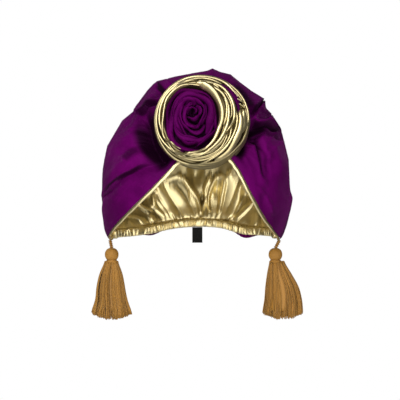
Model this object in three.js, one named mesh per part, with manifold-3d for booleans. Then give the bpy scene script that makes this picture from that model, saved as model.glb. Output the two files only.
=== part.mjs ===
// Rosette turban with ear tassels: a lined cap that is gathered into a rolled rosette over the forehead.
// It stands as it does on a head. The front edges part below the rosette and run down to two points at
// the ears, a gathered elastic casing joins those points round the nape, and a tassel hangs from each.
//
// Millimetres, +Z up, front towards -Y, +X to the right of someone who looks at the front.
// Heights in the tables are above the level of the ear points; the origin is where a head carries the cap.

import * as THREE from "three";
import Module from "manifold-3d";
import { mergeVertices } from "three/addons/utils/BufferGeometryUtils.js";

const wasm = await Module();
wasm.setup();

// Cap: half sizes of the dome round its middle, and how full its front and back are in side view.
const CAP = {
  halfWidth: 104,
  depthFront: 105,
  depthBack: 112,
  rise: 137,
  drop: 138,
  midHeight: 49.5,
  frontFullness: 2.7,
  backFullness: 2.2,
};
const SEAT_HEIGHT = 182; // inside of the crown, where a head carries the cap
const CLOTH = 1.2; // wall of the outer cloth, and of the lining
const CLOTH_GAP = 0.5; // air between the outer cloth and the lining
const PIECE_GAP = 0.4; // clearance between neighbouring pieces

// Rosette: its centre on the front of the cap, and how far it leans back.
const ROSE = { x: 6, height: 124.7, lean: 13 };
const GATHER = { radius: 11, leftAngle: 238, rightAngle: -42 }; // where the cap runs in under the rosette

const RADIANS = Math.PI / 180;
const COLUMNS = 46; // cloth columns from the left front edge, over the crown, to the right front edge
const ROWS = 15; // cloth rows from the rosette to the nape

// The middle of each cloth column, evenly from the left front edge to the right one.
const CROWN_GUIDE = [
  { x: -49, y: -80, height: 45 },
  { x: -85, y: -50, height: 72 },
  { x: -94, y: -12, height: 103 },
  { x: -70, y: 8, height: 145 },
  { x: 0, y: 18, height: 184 },
  { x: 70, y: 8, height: 145 },
  { x: 94, y: -12, height: 103 },
  { x: 85, y: -52, height: 72 },
  { x: 53, y: -83, height: 48 },
];
// The lower edge of the nape, evenly round from the left ear point to the right one.
const NAPE_GUIDE = [
  { x: -94.6, y: -5, height: 0.5 },
  { x: -97, y: 27, height: 0.8 },
  { x: -82, y: 57, height: 1.6 },
  { x: -57, y: 79, height: 4.2 },
  { x: -30, y: 91, height: 9.6 },
  { x: -1, y: 94, height: 12.2 },
  { x: 28, y: 91, height: 10.8 },
  { x: 55, y: 79, height: 4.2 },
  { x: 79, y: 57, height: 2.8 },
  { x: 93.5, y: 27, height: 1.4 },
  { x: 91.2, y: -5, height: 0.5 },
];

// Pleats of the outer cloth. at: place across the cloth, 0 to 1; lean: -1 to 1, the side that is steep.
const PLEATS = [
  { at: 0.085, height: -2.2, width: 0.035, lean: 0.4, from: 0.1, to: 0.8 },
  { at: 0.21, height: 3, width: 0.075, lean: 0, from: 0.12, to: 0.85 },
  { at: 0.335, height: -4.4, width: 0.05, lean: -0.5, from: 0.1, to: 0.75 },
  { at: 0.42, height: 2.2, width: 0.05, lean: 0.35, from: 0.12, to: 0.8 },
  { at: 0.45, height: -5.4, width: 0.09, lean: 0, from: 0.12, to: 0.85 },
  { at: 0.475, height: -1.8, width: 0.03, lean: 0, from: 0.1, to: 0.85 },
  { at: 0.535, height: 3.4, width: 0.045, lean: -0.1, from: 0.12, to: 0.85 },
  { at: 0.61, height: 3.6, width: 0.09, lean: 0.2, from: 0.12, to: 0.8 },
  { at: 0.652, height: 4, width: 0.035, lean: 0.7, from: 0.1, to: 0.75 },
  { at: 0.685, height: -3.4, width: 0.022, lean: -0.5, from: 0.1, to: 0.8 },
  { at: 0.735, height: 3.4, width: 0.045, lean: 0.6, from: 0.1, to: 0.8 },
  { at: 0.785, height: -3.8, width: 0.03, lean: -0.3, from: 0.08, to: 0.7 },
  { at: 0.86, height: 1.6, width: 0.06, lean: 0, from: 0.1, to: 0.8 },
  { at: 0.93, height: -1.6, width: 0.03, lean: 0, from: 0.1, to: 0.7 },
];
const GATHER_DIP = 1.6; // how deep the outer cloth is drawn in round the rosette

const LINING_INSET = { top: 0.002, nape: 0.01 }; // how far the lining stops short of the front edges
// Folds of the lining inside the nape. depth: how far a fold stands into the hollow; top: where it fades.
const LINING_FOLDS = [
  { at: 0.1, depth: 4.5, width: 0.035, top: 0.84 },
  { at: 0.175, depth: 6, width: 0.035, top: 0.8 },
  { at: 0.25, depth: 7.5, width: 0.035, top: 0.76 },
  { at: 0.325, depth: 8.5, width: 0.035, top: 0.72 },
  { at: 0.395, depth: 9, width: 0.033, top: 0.7 },
  { at: 0.455, depth: 7, width: 0.028, top: 0.72 },
  { at: 0.51, depth: 6, width: 0.025, top: 0.78 },
  { at: 0.565, depth: 9, width: 0.03, top: 0.7 },
  { at: 0.635, depth: 9.5, width: 0.035, top: 0.68 },
  { at: 0.705, depth: 8, width: 0.032, top: 0.74 },
  { at: 0.775, depth: 7, width: 0.035, top: 0.78 },
  { at: 0.85, depth: 5.5, width: 0.035, top: 0.82 },
  { at: 0.915, depth: 4, width: 0.03, top: 0.86 },
];

// Nape casing: a gold tube with the elastic in it.
const CASING = { height: 8, thickness: 3.4, gathers: 36, ruffle: 0.6, from: 0.03, to: 0.97 };
const RUCHE = { depth: 0.9, start: 0.8 }; // small gathers that the casing draws into the cloth above it
// Where the outer cloth sags below the casing.
const HEM_SAGS = [
  { at: 0.325, drop: 2.6, width: 0.055 },
  { at: 0.7, drop: 4.4, width: 0.07 },
];
const PIPING = { topRadius: 1.9, lowRadius: 0.95, sides: 8, firstRow: 2, gap: 0.8 };

// Rosette wraps, as ellipses round the rosette's centre, seen along its axis.
const WRAP_OUTER_EDGE = { x: 0, y: 0, rx: 49, ry: 47.5 };
const WRAP_MIDDLE_EDGE = { x: -3, y: -1, rx: 42, ry: 42 };
const WRAP_INNER_EDGE = { x: -10, y: 0, rx: 29.5, ry: 32.5 };
const WRAPS = [
  { name: "rose_wrap_outer", outer: WRAP_OUTER_EDGE, inner: WRAP_MIDDLE_EDGE, folds: 2, rim: 6, crest: 19, lip: 16 },
  { name: "rose_wrap_inner", outer: WRAP_MIDDLE_EDGE, inner: WRAP_INNER_EDGE, folds: 4, rim: 17, crest: 29, lip: 25 },
];
const WRAP_STEPS = 44;
const WRAP_FLOOR = 0.1; // clearance of the wraps over the outer cloth
// Rolled centre of the rosette: one ribbon on edge, wound inwards.
const COIL = { turns: 3.1, stepsPerTurn: 16, thickness: 5.4, outerTop: 27, innerTop: 15, core: 0.11, squash: 0.9 };

// Label in the nape seam.
const LABEL = { x: 0.8, width: 11.6, drop: 18.2, thickness: 0.9 };

// Tassels hang from the ear points. swing: sideways shift from the ear point to the head.
// A skirt's rows, evenly from neck to foot: its half width, and how far its middle leans to the side.
const TASSELS = [
  {
    side: "left",
    x: -94.8,
    y: -6,
    swing: 1.8,
    turn: 0,
    skirtRows: [
      { reach: 7.2, lean: 0 },
      { reach: 13.4, lean: -0.5 },
      { reach: 16.2, lean: -0.7 },
      { reach: 18, lean: 0.4 },
      { reach: 23.4, lean: 0.9 },
    ],
  },
  {
    side: "right",
    x: 91,
    y: -6,
    swing: -4.4,
    turn: 0.55,
    skirtRows: [
      { reach: 7.8, lean: 1.2 },
      { reach: 13.8, lean: 4 },
      { reach: 18.8, lean: 7 },
      { reach: 21, lean: 8.3 },
      { reach: 22.6, lean: 7.6 },
    ],
  },
];
const TASSEL = { loopTop: 1.3, loopLength: 9.6, loopRadius: 2.3, headRadius: 7.4, headHeight: 14.6, depthShare: 0.8 };
const LOCKS = { count: 8, length: 62.5, thickness: 7, sides: 5, coreSides: 8, shorten: 6 };

const COLOURS = {
  satin: { color: 0x4f0350, roughness: 0.55, metalness: 0 },
  gold: { color: 0xb39a5c, roughness: 0.35, metalness: 0.8 },
  thread: { color: 0xa87a36, roughness: 0.7, metalness: 0 },
  label: { color: 0x0c0c0e, roughness: 0.5, metalness: 0 },
};

const smooth = (low, high, x) => THREE.MathUtils.smoothstep(x, low, high);
const capMiddle = new THREE.Vector3(0, 0, CAP.midHeight);

// Distance from the middle of the cap to the dome in a direction. The front view is an ellipse.
function domeRadius(direction) {
  const frontView = Math.hypot(
    direction.x / CAP.halfWidth,
    direction.z / (direction.z > 0 ? CAP.rise : CAP.drop),
  );
  const depth = direction.y < 0 ? CAP.depthFront : CAP.depthBack;
  const fullness = direction.y < 0 ? CAP.frontFullness : CAP.backFullness;
  return (frontView ** fullness + (Math.abs(direction.y) / depth) ** fullness) ** (-1 / fullness);
}

// A smooth curve through a table's rows.
const guideCurve = (rows) => new THREE.CatmullRomCurve3(rows.map(({ x, y, height }) => new THREE.Vector3(x, y, height)));
const crownCurve = guideCurve(CROWN_GUIDE);
const napeCurve = guideCurve(NAPE_GUIDE);
function napeInward(across) {
  const along = napeCurve.getTangent(across);
  return new THREE.Vector3(along.y, -along.x, 0).normalize();
}

// Where a cloth column leaves the rosette.
function gatherPoint(across) {
  const angle = THREE.MathUtils.lerp(GATHER.leftAngle, GATHER.rightAngle, across) * RADIANS;
  return new THREE.Vector3(
    ROSE.x + GATHER.radius * Math.cos(angle),
    -CAP.depthFront,
    ROSE.height + GATHER.radius * Math.sin(angle),
  );
}

// 0 to 1 and back over a pleat, steeper on the side it leans to.
function ridge(offset, width, lean) {
  const half = width * (offset < 0 ? 1 + lean : 1 - lean);
  const share = Math.min(1, Math.abs(offset) / half);
  return 0.5 + 0.5 * Math.cos(Math.PI * share);
}

function pleatHeight(across, along) {
  let height = -GATHER_DIP * (1 - smooth(0.05, 0.34, along));
  for (const pleat of PLEATS) {
    const fade = smooth(pleat.from, pleat.from + 0.22, along) * (1 - smooth(pleat.to, 1, along));
    height += pleat.height * fade * ridge(across - pleat.at, pleat.width, pleat.lean);
  }
  return height;
}

// Small gathers next to the casing: every other column stands in.
function rucheDepth(column, along) {
  return column % 2 ? RUCHE.depth * smooth(RUCHE.start, 0.95, along) : 0;
}

// The folds start above the casing, and each fades out at its own height.
function liningFoldDepth(across, along) {
  const aboveNape = capPoint(across, along, 0).z - napeCurve.getPoint(across).z;
  const depth = LINING_FOLDS.reduce(
    (sum, fold) => sum + fold.depth * smooth(fold.top, fold.top + 0.12, along) * ridge(across - fold.at, fold.width, 0),
    0,
  );
  return depth * smooth(CASING.height, CASING.height + 9, aboveNape);
}

// A point of the cap, lifted off the dome by lift. The last stretch closes in on the nape's lower edge.
function capPoint(across, along, lift) {
  const [gather, crown, nape] = [gatherPoint(across), crownCurve.getPoint(across), napeCurve.getPoint(across)];
  const through = new THREE.Vector3()
    .addScaledVector(gather, (1 - along) * (1 - 2 * along))
    .addScaledVector(crown, 4 * along * (1 - along))
    .addScaledVector(nape, along * (2 * along - 1));
  const direction = through.sub(capMiddle).normalize();
  const point = direction.clone().multiplyScalar(domeRadius(direction) + lift).add(capMiddle);
  return point.lerp(nape.addScaledVector(napeInward(across), -lift), smooth(0.84, 1, along) ** 1.5);
}

// Rows are closer together near the nape, where the gathers are.
const alongAt = (row) => 1 - (1 - row / ROWS) ** 1.7;

// Turns faces out if they face in, and gives the geometry its normals.
function solidGeometry(points, triangles) {
  const faces = triangles.slice();
  let volume = 0;
  for (let i = 0; i < faces.length; i += 3) {
    const [a, b, c] = [points[faces[i]], points[faces[i + 1]], points[faces[i + 2]]];
    volume += a.dot(b.clone().cross(c));
  }
  if (volume < 0) for (let i = 0; i < faces.length; i += 3) [faces[i + 1], faces[i + 2]] = [faces[i + 2], faces[i + 1]];
  const geometry = new THREE.BufferGeometry().setFromPoints(points);
  geometry.setIndex(faces);
  geometry.computeVertexNormals();
  return geometry;
}

// A wall between two grids of points, closed along its four edges.
function wallGeometry(columns, rows, outerPoint, innerPoint) {
  const points = [];
  for (const face of [outerPoint, innerPoint])
    for (let row = 0; row <= rows; row++) for (let column = 0; column <= columns; column++) points.push(face(column, row));
  const back = (columns + 1) * (rows + 1);
  const at = (column, row) => row * (columns + 1) + column;
  const triangles = [];
  const quad = (a, b, c, d) => triangles.push(a, b, c, a, c, d);
  for (let row = 0; row < rows; row++)
    for (let column = 0; column < columns; column++) {
      const [a, b, c, d] = [at(column, row), at(column + 1, row), at(column + 1, row + 1), at(column, row + 1)];
      quad(a, b, c, d);
      quad(back + a, back + d, back + c, back + b);
    }
  for (let column = 0; column < columns; column++) {
    quad(at(column + 1, 0), at(column, 0), back + at(column, 0), back + at(column + 1, 0));
    quad(at(column, rows), at(column + 1, rows), back + at(column + 1, rows), back + at(column, rows));
  }
  for (let row = 0; row < rows; row++) {
    quad(at(0, row), at(0, row + 1), back + at(0, row + 1), back + at(0, row));
    quad(at(columns, row + 1), at(columns, row), back + at(columns, row), back + at(columns, row + 1));
  }
  return solidGeometry(points, triangles);
}

// A body through equal sections, closed into a ring or capped at its ends.
function sectionGeometry(sections, ring) {
  const size = sections[0].length;
  const points = sections.flat();
  const triangles = [];
  const last = ring ? sections.length : sections.length - 1;
  for (let s = 0; s < last; s++)
    for (let p = 0; p < size; p++) {
      const [here, there] = [s * size, ((s + 1) % sections.length) * size];
      const next = (p + 1) % size;
      triangles.push(here + p, there + p, there + next, here + p, there + next, here + next);
    }
  if (!ring)
    for (let p = 1; p < size - 1; p++) {
      const end = (sections.length - 1) * size;
      triangles.push(0, p, p + 1, end, end + p + 1, end + p);
    }
  return solidGeometry(points, triangles);
}

const group = new THREE.Group();
group.name = "rosette_turban";
group.position.z = -SEAT_HEIGHT;

function addPiece(name, geometry, look) {
  const mesh = new THREE.Mesh(geometry, new THREE.MeshStandardMaterial(look));
  mesh.name = name;
  group.add(mesh);
}

function hemSag(across) {
  return Math.max(...HEM_SAGS.map((sag) => sag.drop * ridge(across - sag.at, sag.width, 0)));
}

// Outer cloth: one sheet from the rosette over the head to the nape.
function outerCloth() {
  const face = (lift) => (column, row) => {
    const [across, along] = [column / COLUMNS, alongAt(row)];
    const height = pleatHeight(across, along) - rucheDepth(column, along) + lift;
    const point = capPoint(across, along, height);
    if (row === ROWS) point.z -= hemSag(across);
    return point;
  };
  return wallGeometry(COLUMNS, ROWS, face(0), face(-CLOTH));
}

// Lining: follows the outer cloth down to its lower edge, behind the casing, and stops short of the piping.
function lining() {
  const face = (lift) => (column, row) => {
    const along = alongAt(row);
    const inset = THREE.MathUtils.lerp(LINING_INSET.top, LINING_INSET.nape, smooth(0.85, 1, along));
    const across = THREE.MathUtils.clamp(column / COLUMNS, inset, 1 - inset);
    const height = pleatHeight(across, along) - RUCHE.depth * smooth(RUCHE.start, 0.95, along);
    return capPoint(across, along, height - liningFoldDepth(across, along) + lift);
  };
  return wallGeometry(COLUMNS, ROWS, face(-CLOTH - CLOTH_GAP), face(-2 * CLOTH - CLOTH_GAP));
}

// Casing: a ruffled tube on the inside of the lining, along its lower edge.
function casing() {
  const steps = CASING.gathers * 2;
  const near = 2 * CLOTH + CLOTH_GAP + RUCHE.depth + PIECE_GAP;
  const sections = [];
  for (let step = 0; step <= steps; step++) {
    const across = THREE.MathUtils.lerp(CASING.from, CASING.to, step / steps);
    const low = napeCurve.getPoint(across);
    const inward = napeInward(across);
    const thick = CASING.thickness + (step % 2 ? CASING.ruffle : -CASING.ruffle);
    const profile = [
      [near, 0],
      [near, CASING.height - 1.2],
      [near + 0.45 * thick, CASING.height],
      [near + thick, 0.6 * CASING.height],
      [near + thick, 0.2 * CASING.height],
      [near + 0.55 * thick, -0.8],
    ];
    sections.push(profile.map(([depth, rise]) => low.clone().addScaledVector(inward, depth).setZ(low.z + rise)));
  }
  return sectionGeometry(sections, false);
}

// Piping: a rolled gold edge just past the outer cloth and the lining, row by row with them.
function piping(edge, away) {
  const path = [];
  for (let row = PIPING.firstRow; row < ROWS; row++) {
    const along = alongAt(row);
    const lift = pleatHeight(edge, along) - CLOTH - CLOTH_GAP / 2;
    const here = capPoint(edge, along, lift);
    const beside = capPoint(edge + away / COLUMNS, along, lift);
    path.push({ here, out: here.clone().sub(beside).normalize() });
  }
  const sections = path.map(({ here, out }, index) => {
    const before = path[Math.max(0, index - 1)].here;
    const after = path[Math.min(path.length - 1, index + 1)].here;
    const forward = after.clone().sub(before).normalize();
    const side = out.clone().addScaledVector(forward, -out.dot(forward)).normalize();
    const up = forward.clone().cross(side);
    const radius = THREE.MathUtils.lerp(PIPING.topRadius, PIPING.lowRadius, index / (path.length - 1));
    const centre = here.clone().addScaledVector(side, radius + PIPING.gap);
    return Array.from({ length: PIPING.sides }, (_, k) => {
      const angle = (2 * Math.PI * k) / PIPING.sides;
      const [sideways, upward] = [radius * Math.cos(angle), radius * Math.sin(angle)];
      return centre.clone().addScaledVector(side, sideways).addScaledVector(up, upward);
    });
  });
  return sectionGeometry(sections, false);
}

// The rosette's own frame: right, up along the cap, and out along its axis.
const roseOut = new THREE.Vector3(0, -Math.cos(ROSE.lean * RADIANS), Math.sin(ROSE.lean * RADIANS));
const roseUp = new THREE.Vector3(0, Math.sin(ROSE.lean * RADIANS), Math.cos(ROSE.lean * RADIANS));
const roseCentre = (() => {
  const start = new THREE.Vector3(ROSE.x, -CAP.depthFront, ROSE.height).sub(capMiddle).normalize();
  const point = start.clone().multiplyScalar(domeRadius(start)).add(capMiddle);
  return new THREE.Vector3(ROSE.x, point.y, ROSE.height);
})();
function rosePoint(right, up, out) {
  return roseCentre.clone().setX(roseCentre.x + right).addScaledVector(roseUp, up).addScaledVector(roseOut, out);
}

// How far out along the rosette's axis the dome lies, found by halving.
function domeOut(right, up) {
  let [low, high] = [-70, 20];
  for (let i = 0; i < 30; i++) {
    const middle = (low + high) / 2;
    const ray = rosePoint(right, up, middle).sub(capMiddle);
    const inside = ray.length() < domeRadius(ray.clone().normalize());
    [low, high] = inside ? [middle, high] : [low, middle];
  }
  return high;
}

const ellipsePoint = (edge, angle, shrink) => [
  edge.x + (edge.rx - shrink) * Math.cos(angle),
  edge.y + (edge.ry - shrink) * Math.sin(angle),
];

// A gold wrap of the rosette: a ring with rounded folds along it, its back on the cap.
function wrap({ outer, inner, folds, rim, crest, lip }) {
  const sections = [];
  const rungs = folds * 2;
  for (let step = 0; step < WRAP_STEPS; step++) {
    const angle = (2 * Math.PI * step) / WRAP_STEPS;
    const start = ellipsePoint(outer, angle, PIECE_GAP / 2);
    const end = ellipsePoint(inner, angle, -PIECE_GAP / 2);
    const breadth = Math.hypot(start[0] - end[0], start[1] - end[1]);
    const floor = Math.min(domeOut(...start), domeOut(...end));
    const front = [];
    for (let rung = 0; rung <= rungs; rung++) {
      const share = rung / rungs;
      const swell = THREE.MathUtils.lerp(rim, lip, share) + (crest - Math.max(rim, lip)) * Math.sin(Math.PI * share);
      const valley = rung % 2 ? 0 : Math.min(1.8, (0.6 * breadth) / folds);
      const [right, up] = [0, 1].map((k) => THREE.MathUtils.lerp(start[k], end[k], share));
      front.push(rosePoint(right, up, swell - valley));
    }
    const back = [end, start].map((p) => rosePoint(...p, Math.max(domeOut(...p) + WRAP_FLOOR, floor)));
    sections.push([...front, ...back]);
  }
  return sectionGeometry(sections, true);
}

// The rolled centre: a ribbon on edge that winds in and steps down to its core.
function rolledCentre() {
  const sections = [];
  const count = Math.round(COIL.turns * COIL.stepsPerTurn);
  const reach = WRAP_INNER_EDGE.ry - PIECE_GAP - COIL.thickness / 2;
  for (let step = 0; step <= count; step++) {
    const share = step / count;
    const angle = 2.2 - 2 * Math.PI * COIL.turns * share;
    const radius = reach * THREE.MathUtils.lerp(1, COIL.core, share);
    const half = (COIL.thickness / 2) * (1 - 0.25 * share);
    const top = THREE.MathUtils.lerp(COIL.outerTop, COIL.innerTop, share) + 1.2 * Math.sin(3 * angle);
    const at = (offset) => [
      WRAP_INNER_EDGE.x + (radius + offset) * COIL.squash * Math.cos(angle),
      WRAP_INNER_EDGE.y + (radius + offset) * Math.sin(angle),
    ];
    const foot = (offset) => rosePoint(...at(offset), domeOut(...at(offset)) + WRAP_FLOOR);
    sections.push([
      foot(-0.8 * half),
      foot(0.8 * half),
      rosePoint(...at(half), top - 4),
      rosePoint(...at(0.55 * half), top),
      rosePoint(...at(-0.55 * half), top),
      rosePoint(...at(-half), top - 4),
    ]);
  }
  return sectionGeometry(sections, false);
}

// Label: a folded strip that hangs from the casing, its lower corners rounded.
function label() {
  const seam = napeCurve.getPoint(0.5);
  const half = LABEL.width / 2;
  const corner = 0.8;
  const outline = new THREE.Shape()
    .moveTo(-half, -PIECE_GAP)
    .lineTo(-half, corner - LABEL.drop)
    .lineTo(corner - half, -LABEL.drop)
    .lineTo(half - corner, -LABEL.drop)
    .lineTo(half, corner - LABEL.drop)
    .lineTo(half, -PIECE_GAP);
  const plate = new THREE.ExtrudeGeometry(outline, { depth: LABEL.thickness, bevelEnabled: false });
  plate.rotateX(Math.PI / 2);
  plate.translate(LABEL.x, seam.y - CLOTH - RUCHE.depth - PIECE_GAP - 1, seam.z);
  return plate;
}

const toManifold = (geometry) => {
  const plain = mergeVertices(new THREE.BufferGeometry().copy(geometry).deleteAttribute("normal").deleteAttribute("uv"));
  return new wasm.Manifold(
    new wasm.Mesh({ numProp: 3, vertProperties: plain.attributes.position.array, triVerts: new Uint32Array(plain.index.array) }),
  );
};
const fromManifold = (solid) => {
  const { vertProperties, triVerts } = solid.getMesh();
  const geometry = new THREE.BufferGeometry().setAttribute("position", new THREE.BufferAttribute(vertProperties, 3));
  geometry.setIndex(new THREE.BufferAttribute(triVerts, 1));
  geometry.computeVertexNormals();
  return geometry;
};

// A short two-ply loop from the ear point to the tassel's head: an oval section that turns as it goes down.
function tasselLoop(tassel) {
  const sections = [];
  const steps = 6;
  for (let step = 0; step <= steps; step++) {
    const share = step / steps;
    const turn = share * 1.5 * Math.PI;
    const down = THREE.MathUtils.lerp(-TASSEL.loopTop, PIECE_GAP - TASSEL.loopLength, share);
    const section = [];
    for (let side = 0; side < 6; side++) {
      const angle = (side / 6) * 2 * Math.PI;
      const [wide, thin] = [TASSEL.loopRadius * Math.cos(angle), 0.6 * TASSEL.loopRadius * Math.sin(angle)];
      section.push(
        new THREE.Vector3(
          tassel.x + tassel.swing * share + wide * Math.cos(turn) - thin * Math.sin(turn),
          tassel.y + wide * Math.sin(turn) + thin * Math.cos(turn),
          down,
        ),
      );
    }
    sections.push(section);
  }
  return sectionGeometry(sections, false);
}

// The tassel's head: a covered ball, slightly taller than wide.
function tasselHead(tassel) {
  const outline = [];
  const steps = 6;
  for (let step = 0; step <= steps; step++) {
    const angle = Math.PI * (step / steps - 0.5);
    const radius = step % steps ? TASSEL.headRadius * Math.cos(angle) : 0;
    outline.push(new THREE.Vector2(radius, (TASSEL.headHeight / 2) * Math.sin(angle)));
  }
  const ball = new THREE.LatheGeometry(outline, 12);
  ball.rotateX(Math.PI / 2);
  ball.translate(tassel.x + tassel.swing, tassel.y, -TASSEL.loopLength - TASSEL.headHeight / 2);
  return ball;
}

// The skirt: a core with locks of thread fused round it, each fanning out and cut at its own length.
function tasselSkirt({ x, y, swing, turn, skirtRows }) {
  const neck = -TASSEL.loopLength - TASSEL.headHeight - PIECE_GAP;
  const last = skirtRows.length - 1;
  const outline = skirtRows.map((row, index) => ({ radius: 0.62 * row.reach, down: (0.9 * LOCKS.length * index) / last }));
  const ring = ({ radius, down }, lean) =>
    Array.from({ length: LOCKS.coreSides }, (_, side) => {
      const angle = (2 * Math.PI * side) / LOCKS.coreSides;
      return new THREE.Vector3(lean + radius * Math.cos(angle), radius * Math.sin(angle), -down);
    });
  let skirt = toManifold(sectionGeometry(outline.map((row, index) => ring(row, skirtRows[index].lean)), false));
  for (let lock = 0; lock < LOCKS.count; lock++) {
    const around = (2 * Math.PI * (lock + turn)) / LOCKS.count;
    const length = LOCKS.length * (0.985 + 0.015 * Math.sin(5 * lock + turn));
    const sections = skirtRows.map(({ reach, lean }, index) => {
      const share = index / last;
      const half = LOCKS.thickness * (0.42 + 0.2 * share);
      const arc = LOCKS.shorten * share * share * Math.abs(Math.cos(around));
      return Array.from({ length: LOCKS.sides }, (_, side) => {
        const angle = (2 * Math.PI * side) / LOCKS.sides;
        const out = reach - half + half * Math.cos(angle);
        const across = (0.38 * reach + 0.4) * Math.sin(angle);
        return new THREE.Vector3(
          lean + out * Math.cos(around) - across * Math.sin(around),
          out * Math.sin(around) + across * Math.cos(around),
          arc - 0.2 - share * length,
        );
      });
    });
    skirt = skirt.add(toManifold(sectionGeometry(sections, false)));
  }
  const geometry = fromManifold(skirt);
  geometry.scale(1, TASSEL.depthShare, 1);
  geometry.translate(x + swing, y, neck);
  return geometry;
}

addPiece("outer_cloth", outerCloth(), COLOURS.satin);
addPiece("lining", lining(), COLOURS.gold);
addPiece("nape_casing", casing(), COLOURS.gold);
addPiece("front_piping_left", piping(0, 1), COLOURS.gold);
addPiece("front_piping_right", piping(1, -1), COLOURS.gold);
for (const row of WRAPS) addPiece(row.name, wrap(row), COLOURS.gold);
addPiece("rose_centre", rolledCentre(), COLOURS.satin);
addPiece("label", label(), COLOURS.label);
for (const tassel of TASSELS) {
  addPiece(`tassel_loop_${tassel.side}`, tasselLoop(tassel), COLOURS.thread);
  addPiece(`tassel_head_${tassel.side}`, tasselHead(tassel), COLOURS.thread);
  addPiece(`tassel_skirt_${tassel.side}`, tasselSkirt(tassel), COLOURS.thread);
}

export default group;
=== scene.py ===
"""Rosette turban: violet silk and gold foil cloth, a wound rosette, thread tassels and a plain label."""

import bpy
import numpy as np
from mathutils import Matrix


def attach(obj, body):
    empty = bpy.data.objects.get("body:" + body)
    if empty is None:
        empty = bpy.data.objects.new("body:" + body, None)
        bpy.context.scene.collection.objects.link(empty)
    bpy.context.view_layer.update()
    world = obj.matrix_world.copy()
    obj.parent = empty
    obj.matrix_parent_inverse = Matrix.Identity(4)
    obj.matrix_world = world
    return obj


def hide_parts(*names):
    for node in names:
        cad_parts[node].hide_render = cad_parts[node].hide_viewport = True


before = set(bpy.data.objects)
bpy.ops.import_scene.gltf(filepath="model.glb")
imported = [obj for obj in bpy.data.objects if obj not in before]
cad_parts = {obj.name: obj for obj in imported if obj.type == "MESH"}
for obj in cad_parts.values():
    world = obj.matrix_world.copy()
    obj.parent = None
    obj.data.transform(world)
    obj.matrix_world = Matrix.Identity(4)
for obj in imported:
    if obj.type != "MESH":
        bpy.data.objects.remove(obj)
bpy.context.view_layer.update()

# All tables are in millimetres. Heights are above the ear points, SEAT_HEIGHT below the origin.
SEAT_HEIGHT = 182.0
# The dome on which the cloth lies, round MIDDLE: half width, depth and height, and how full its corners
# are in front and behind. GATHER is the ring in which the cloth ends below the rosette, with the clock
# angles of its left and right front edges.
CAP = dict(half_width=104.0, depth_front=105.0, depth_back=112.0, rise=137.0, drop=138.0)
MIDDLE = np.array([0.0, 0.0, 49.5])
FRONT_FULLNESS, BACK_FULLNESS = 2.7, 2.2
GATHER = dict(x=6.0, height=124.7, radius=11.0, left=238.0, right=-42.0)
ROSE = dict(x=6.0, height=124.7, lean=np.radians(13))

# Middle of the cloth, evenly from the left front edge over the crown to the right one: x, y, height.
CROWN_GUIDE = [
    (-49, -80, 45),
    (-85, -50, 72),
    (-94, -12, 103),
    (-70, 8, 145),
    (0, 18, 184),
    (70, 8, 145),
    (94, -12, 103),
    (85, -52, 72),
    (53, -83, 48),
]
# Lower edge of the nape, evenly round from the left ear point to the right one: x, y, height.
NAPE_GUIDE = [
    (-94.6, -5, 0.5),
    (-97, 27, 0.8),
    (-82, 57, 1.6),
    (-57, 79, 4.2),
    (-30, 91, 9.6),
    (-1, 94, 12.2),
    (28, 91, 10.8),
    (55, 79, 4.2),
    (79, 57, 2.8),
    (93.5, 27, 1.4),
    (91.2, -5, 0.5),
]

# How far the right front edge stands out sideways, evenly from the rosette to the ear point, and from
# which place across the cloth it does.
RIGHT_EDGE = (0, 4, 8, 7.4, 3.5, -1.5, -5.9, -9.1, -9, -6, 0)
RIGHT_EDGE_FROM = 0.86
# Where the dome begins to pass over into the nape's line, along the cloth, and how sharply it does.
NAPE_FROM, NAPE_SHARPNESS = 0.84, 1.5

# Pleats of the outer cloth. near and far: place across the cloth at 0.2 and 0.6 of its length.
# height, width, lean of the steep side, where it starts and ends, and how far its crest laps over.
PLEAT_COLUMNS = ("near", "far", "height", "width", "lean", "start", "end", "lap")
PLEATS = [
    (0.027, 0.095, -3.2, 0.022, 0.5, 0.12, 0.8, 0.0),
    (0.060, 0.125, 1.6, 0.030, -0.3, 0.12, 0.8, 0.0),
    (0.150, 0.200, -6.5, 0.110, 0.0, 0.00, 0.42, 0.0),
    (0.200, 0.215, 3.2, 0.080, 0.0, 0.12, 0.85, 0.0),
    (0.290, 0.300, 2.6, 0.035, 0.4, 0.10, 0.8, 0.004),
    (0.330, 0.340, -4.6, 0.050, -0.5, 0.10, 0.75, 0.0),
    (0.380, 0.390, -2.4, 0.016, 0.5, 0.12, 0.8, 0.0),
    (0.412, 0.420, 3.6, 0.030, 0.6, 0.12, 0.8, 0.004),
    (0.455, 0.450, -5.2, 0.080, 0.0, 0.12, 0.85, 0.0),
    (0.480, 0.474, -2.0, 0.018, 0.4, 0.10, 0.85, 0.0),
    (0.535, 0.535, 3.6, 0.045, -0.1, 0.12, 0.85, 0.0),
    (0.615, 0.605, 3.6, 0.090, 0.2, 0.12, 0.8, 0.0),
    (0.715, 0.630, 5.0, 0.034, 0.7, 0.06, 0.75, 0.004),
    (0.742, 0.662, -4.0, 0.020, -0.4, 0.06, 0.8, 0.0),
    (0.775, 0.690, 5.0, 0.034, 0.7, 0.06, 0.8, 0.004),
    (0.806, 0.722, -6.0, 0.024, -0.4, 0.04, 0.75, 0.0),
    (0.820, 0.985, -4.5, 0.040, 0.2, 0.04, 0.6, 0.0),
    (0.875, 0.860, 2.2, 0.055, 0.0, 0.10, 0.8, 0.0),
    (0.930, 0.985, -1.6, 0.020, 0.0, 0.12, 0.8, 0.0),
]
PLEAT_NEAR, PLEAT_FAR_FROM_NEAR = 0.2, 0.4
PLEAT_FADE_IN, PLEAT_FADE_OUT = 0.14, (0.25, 0.1)
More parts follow.
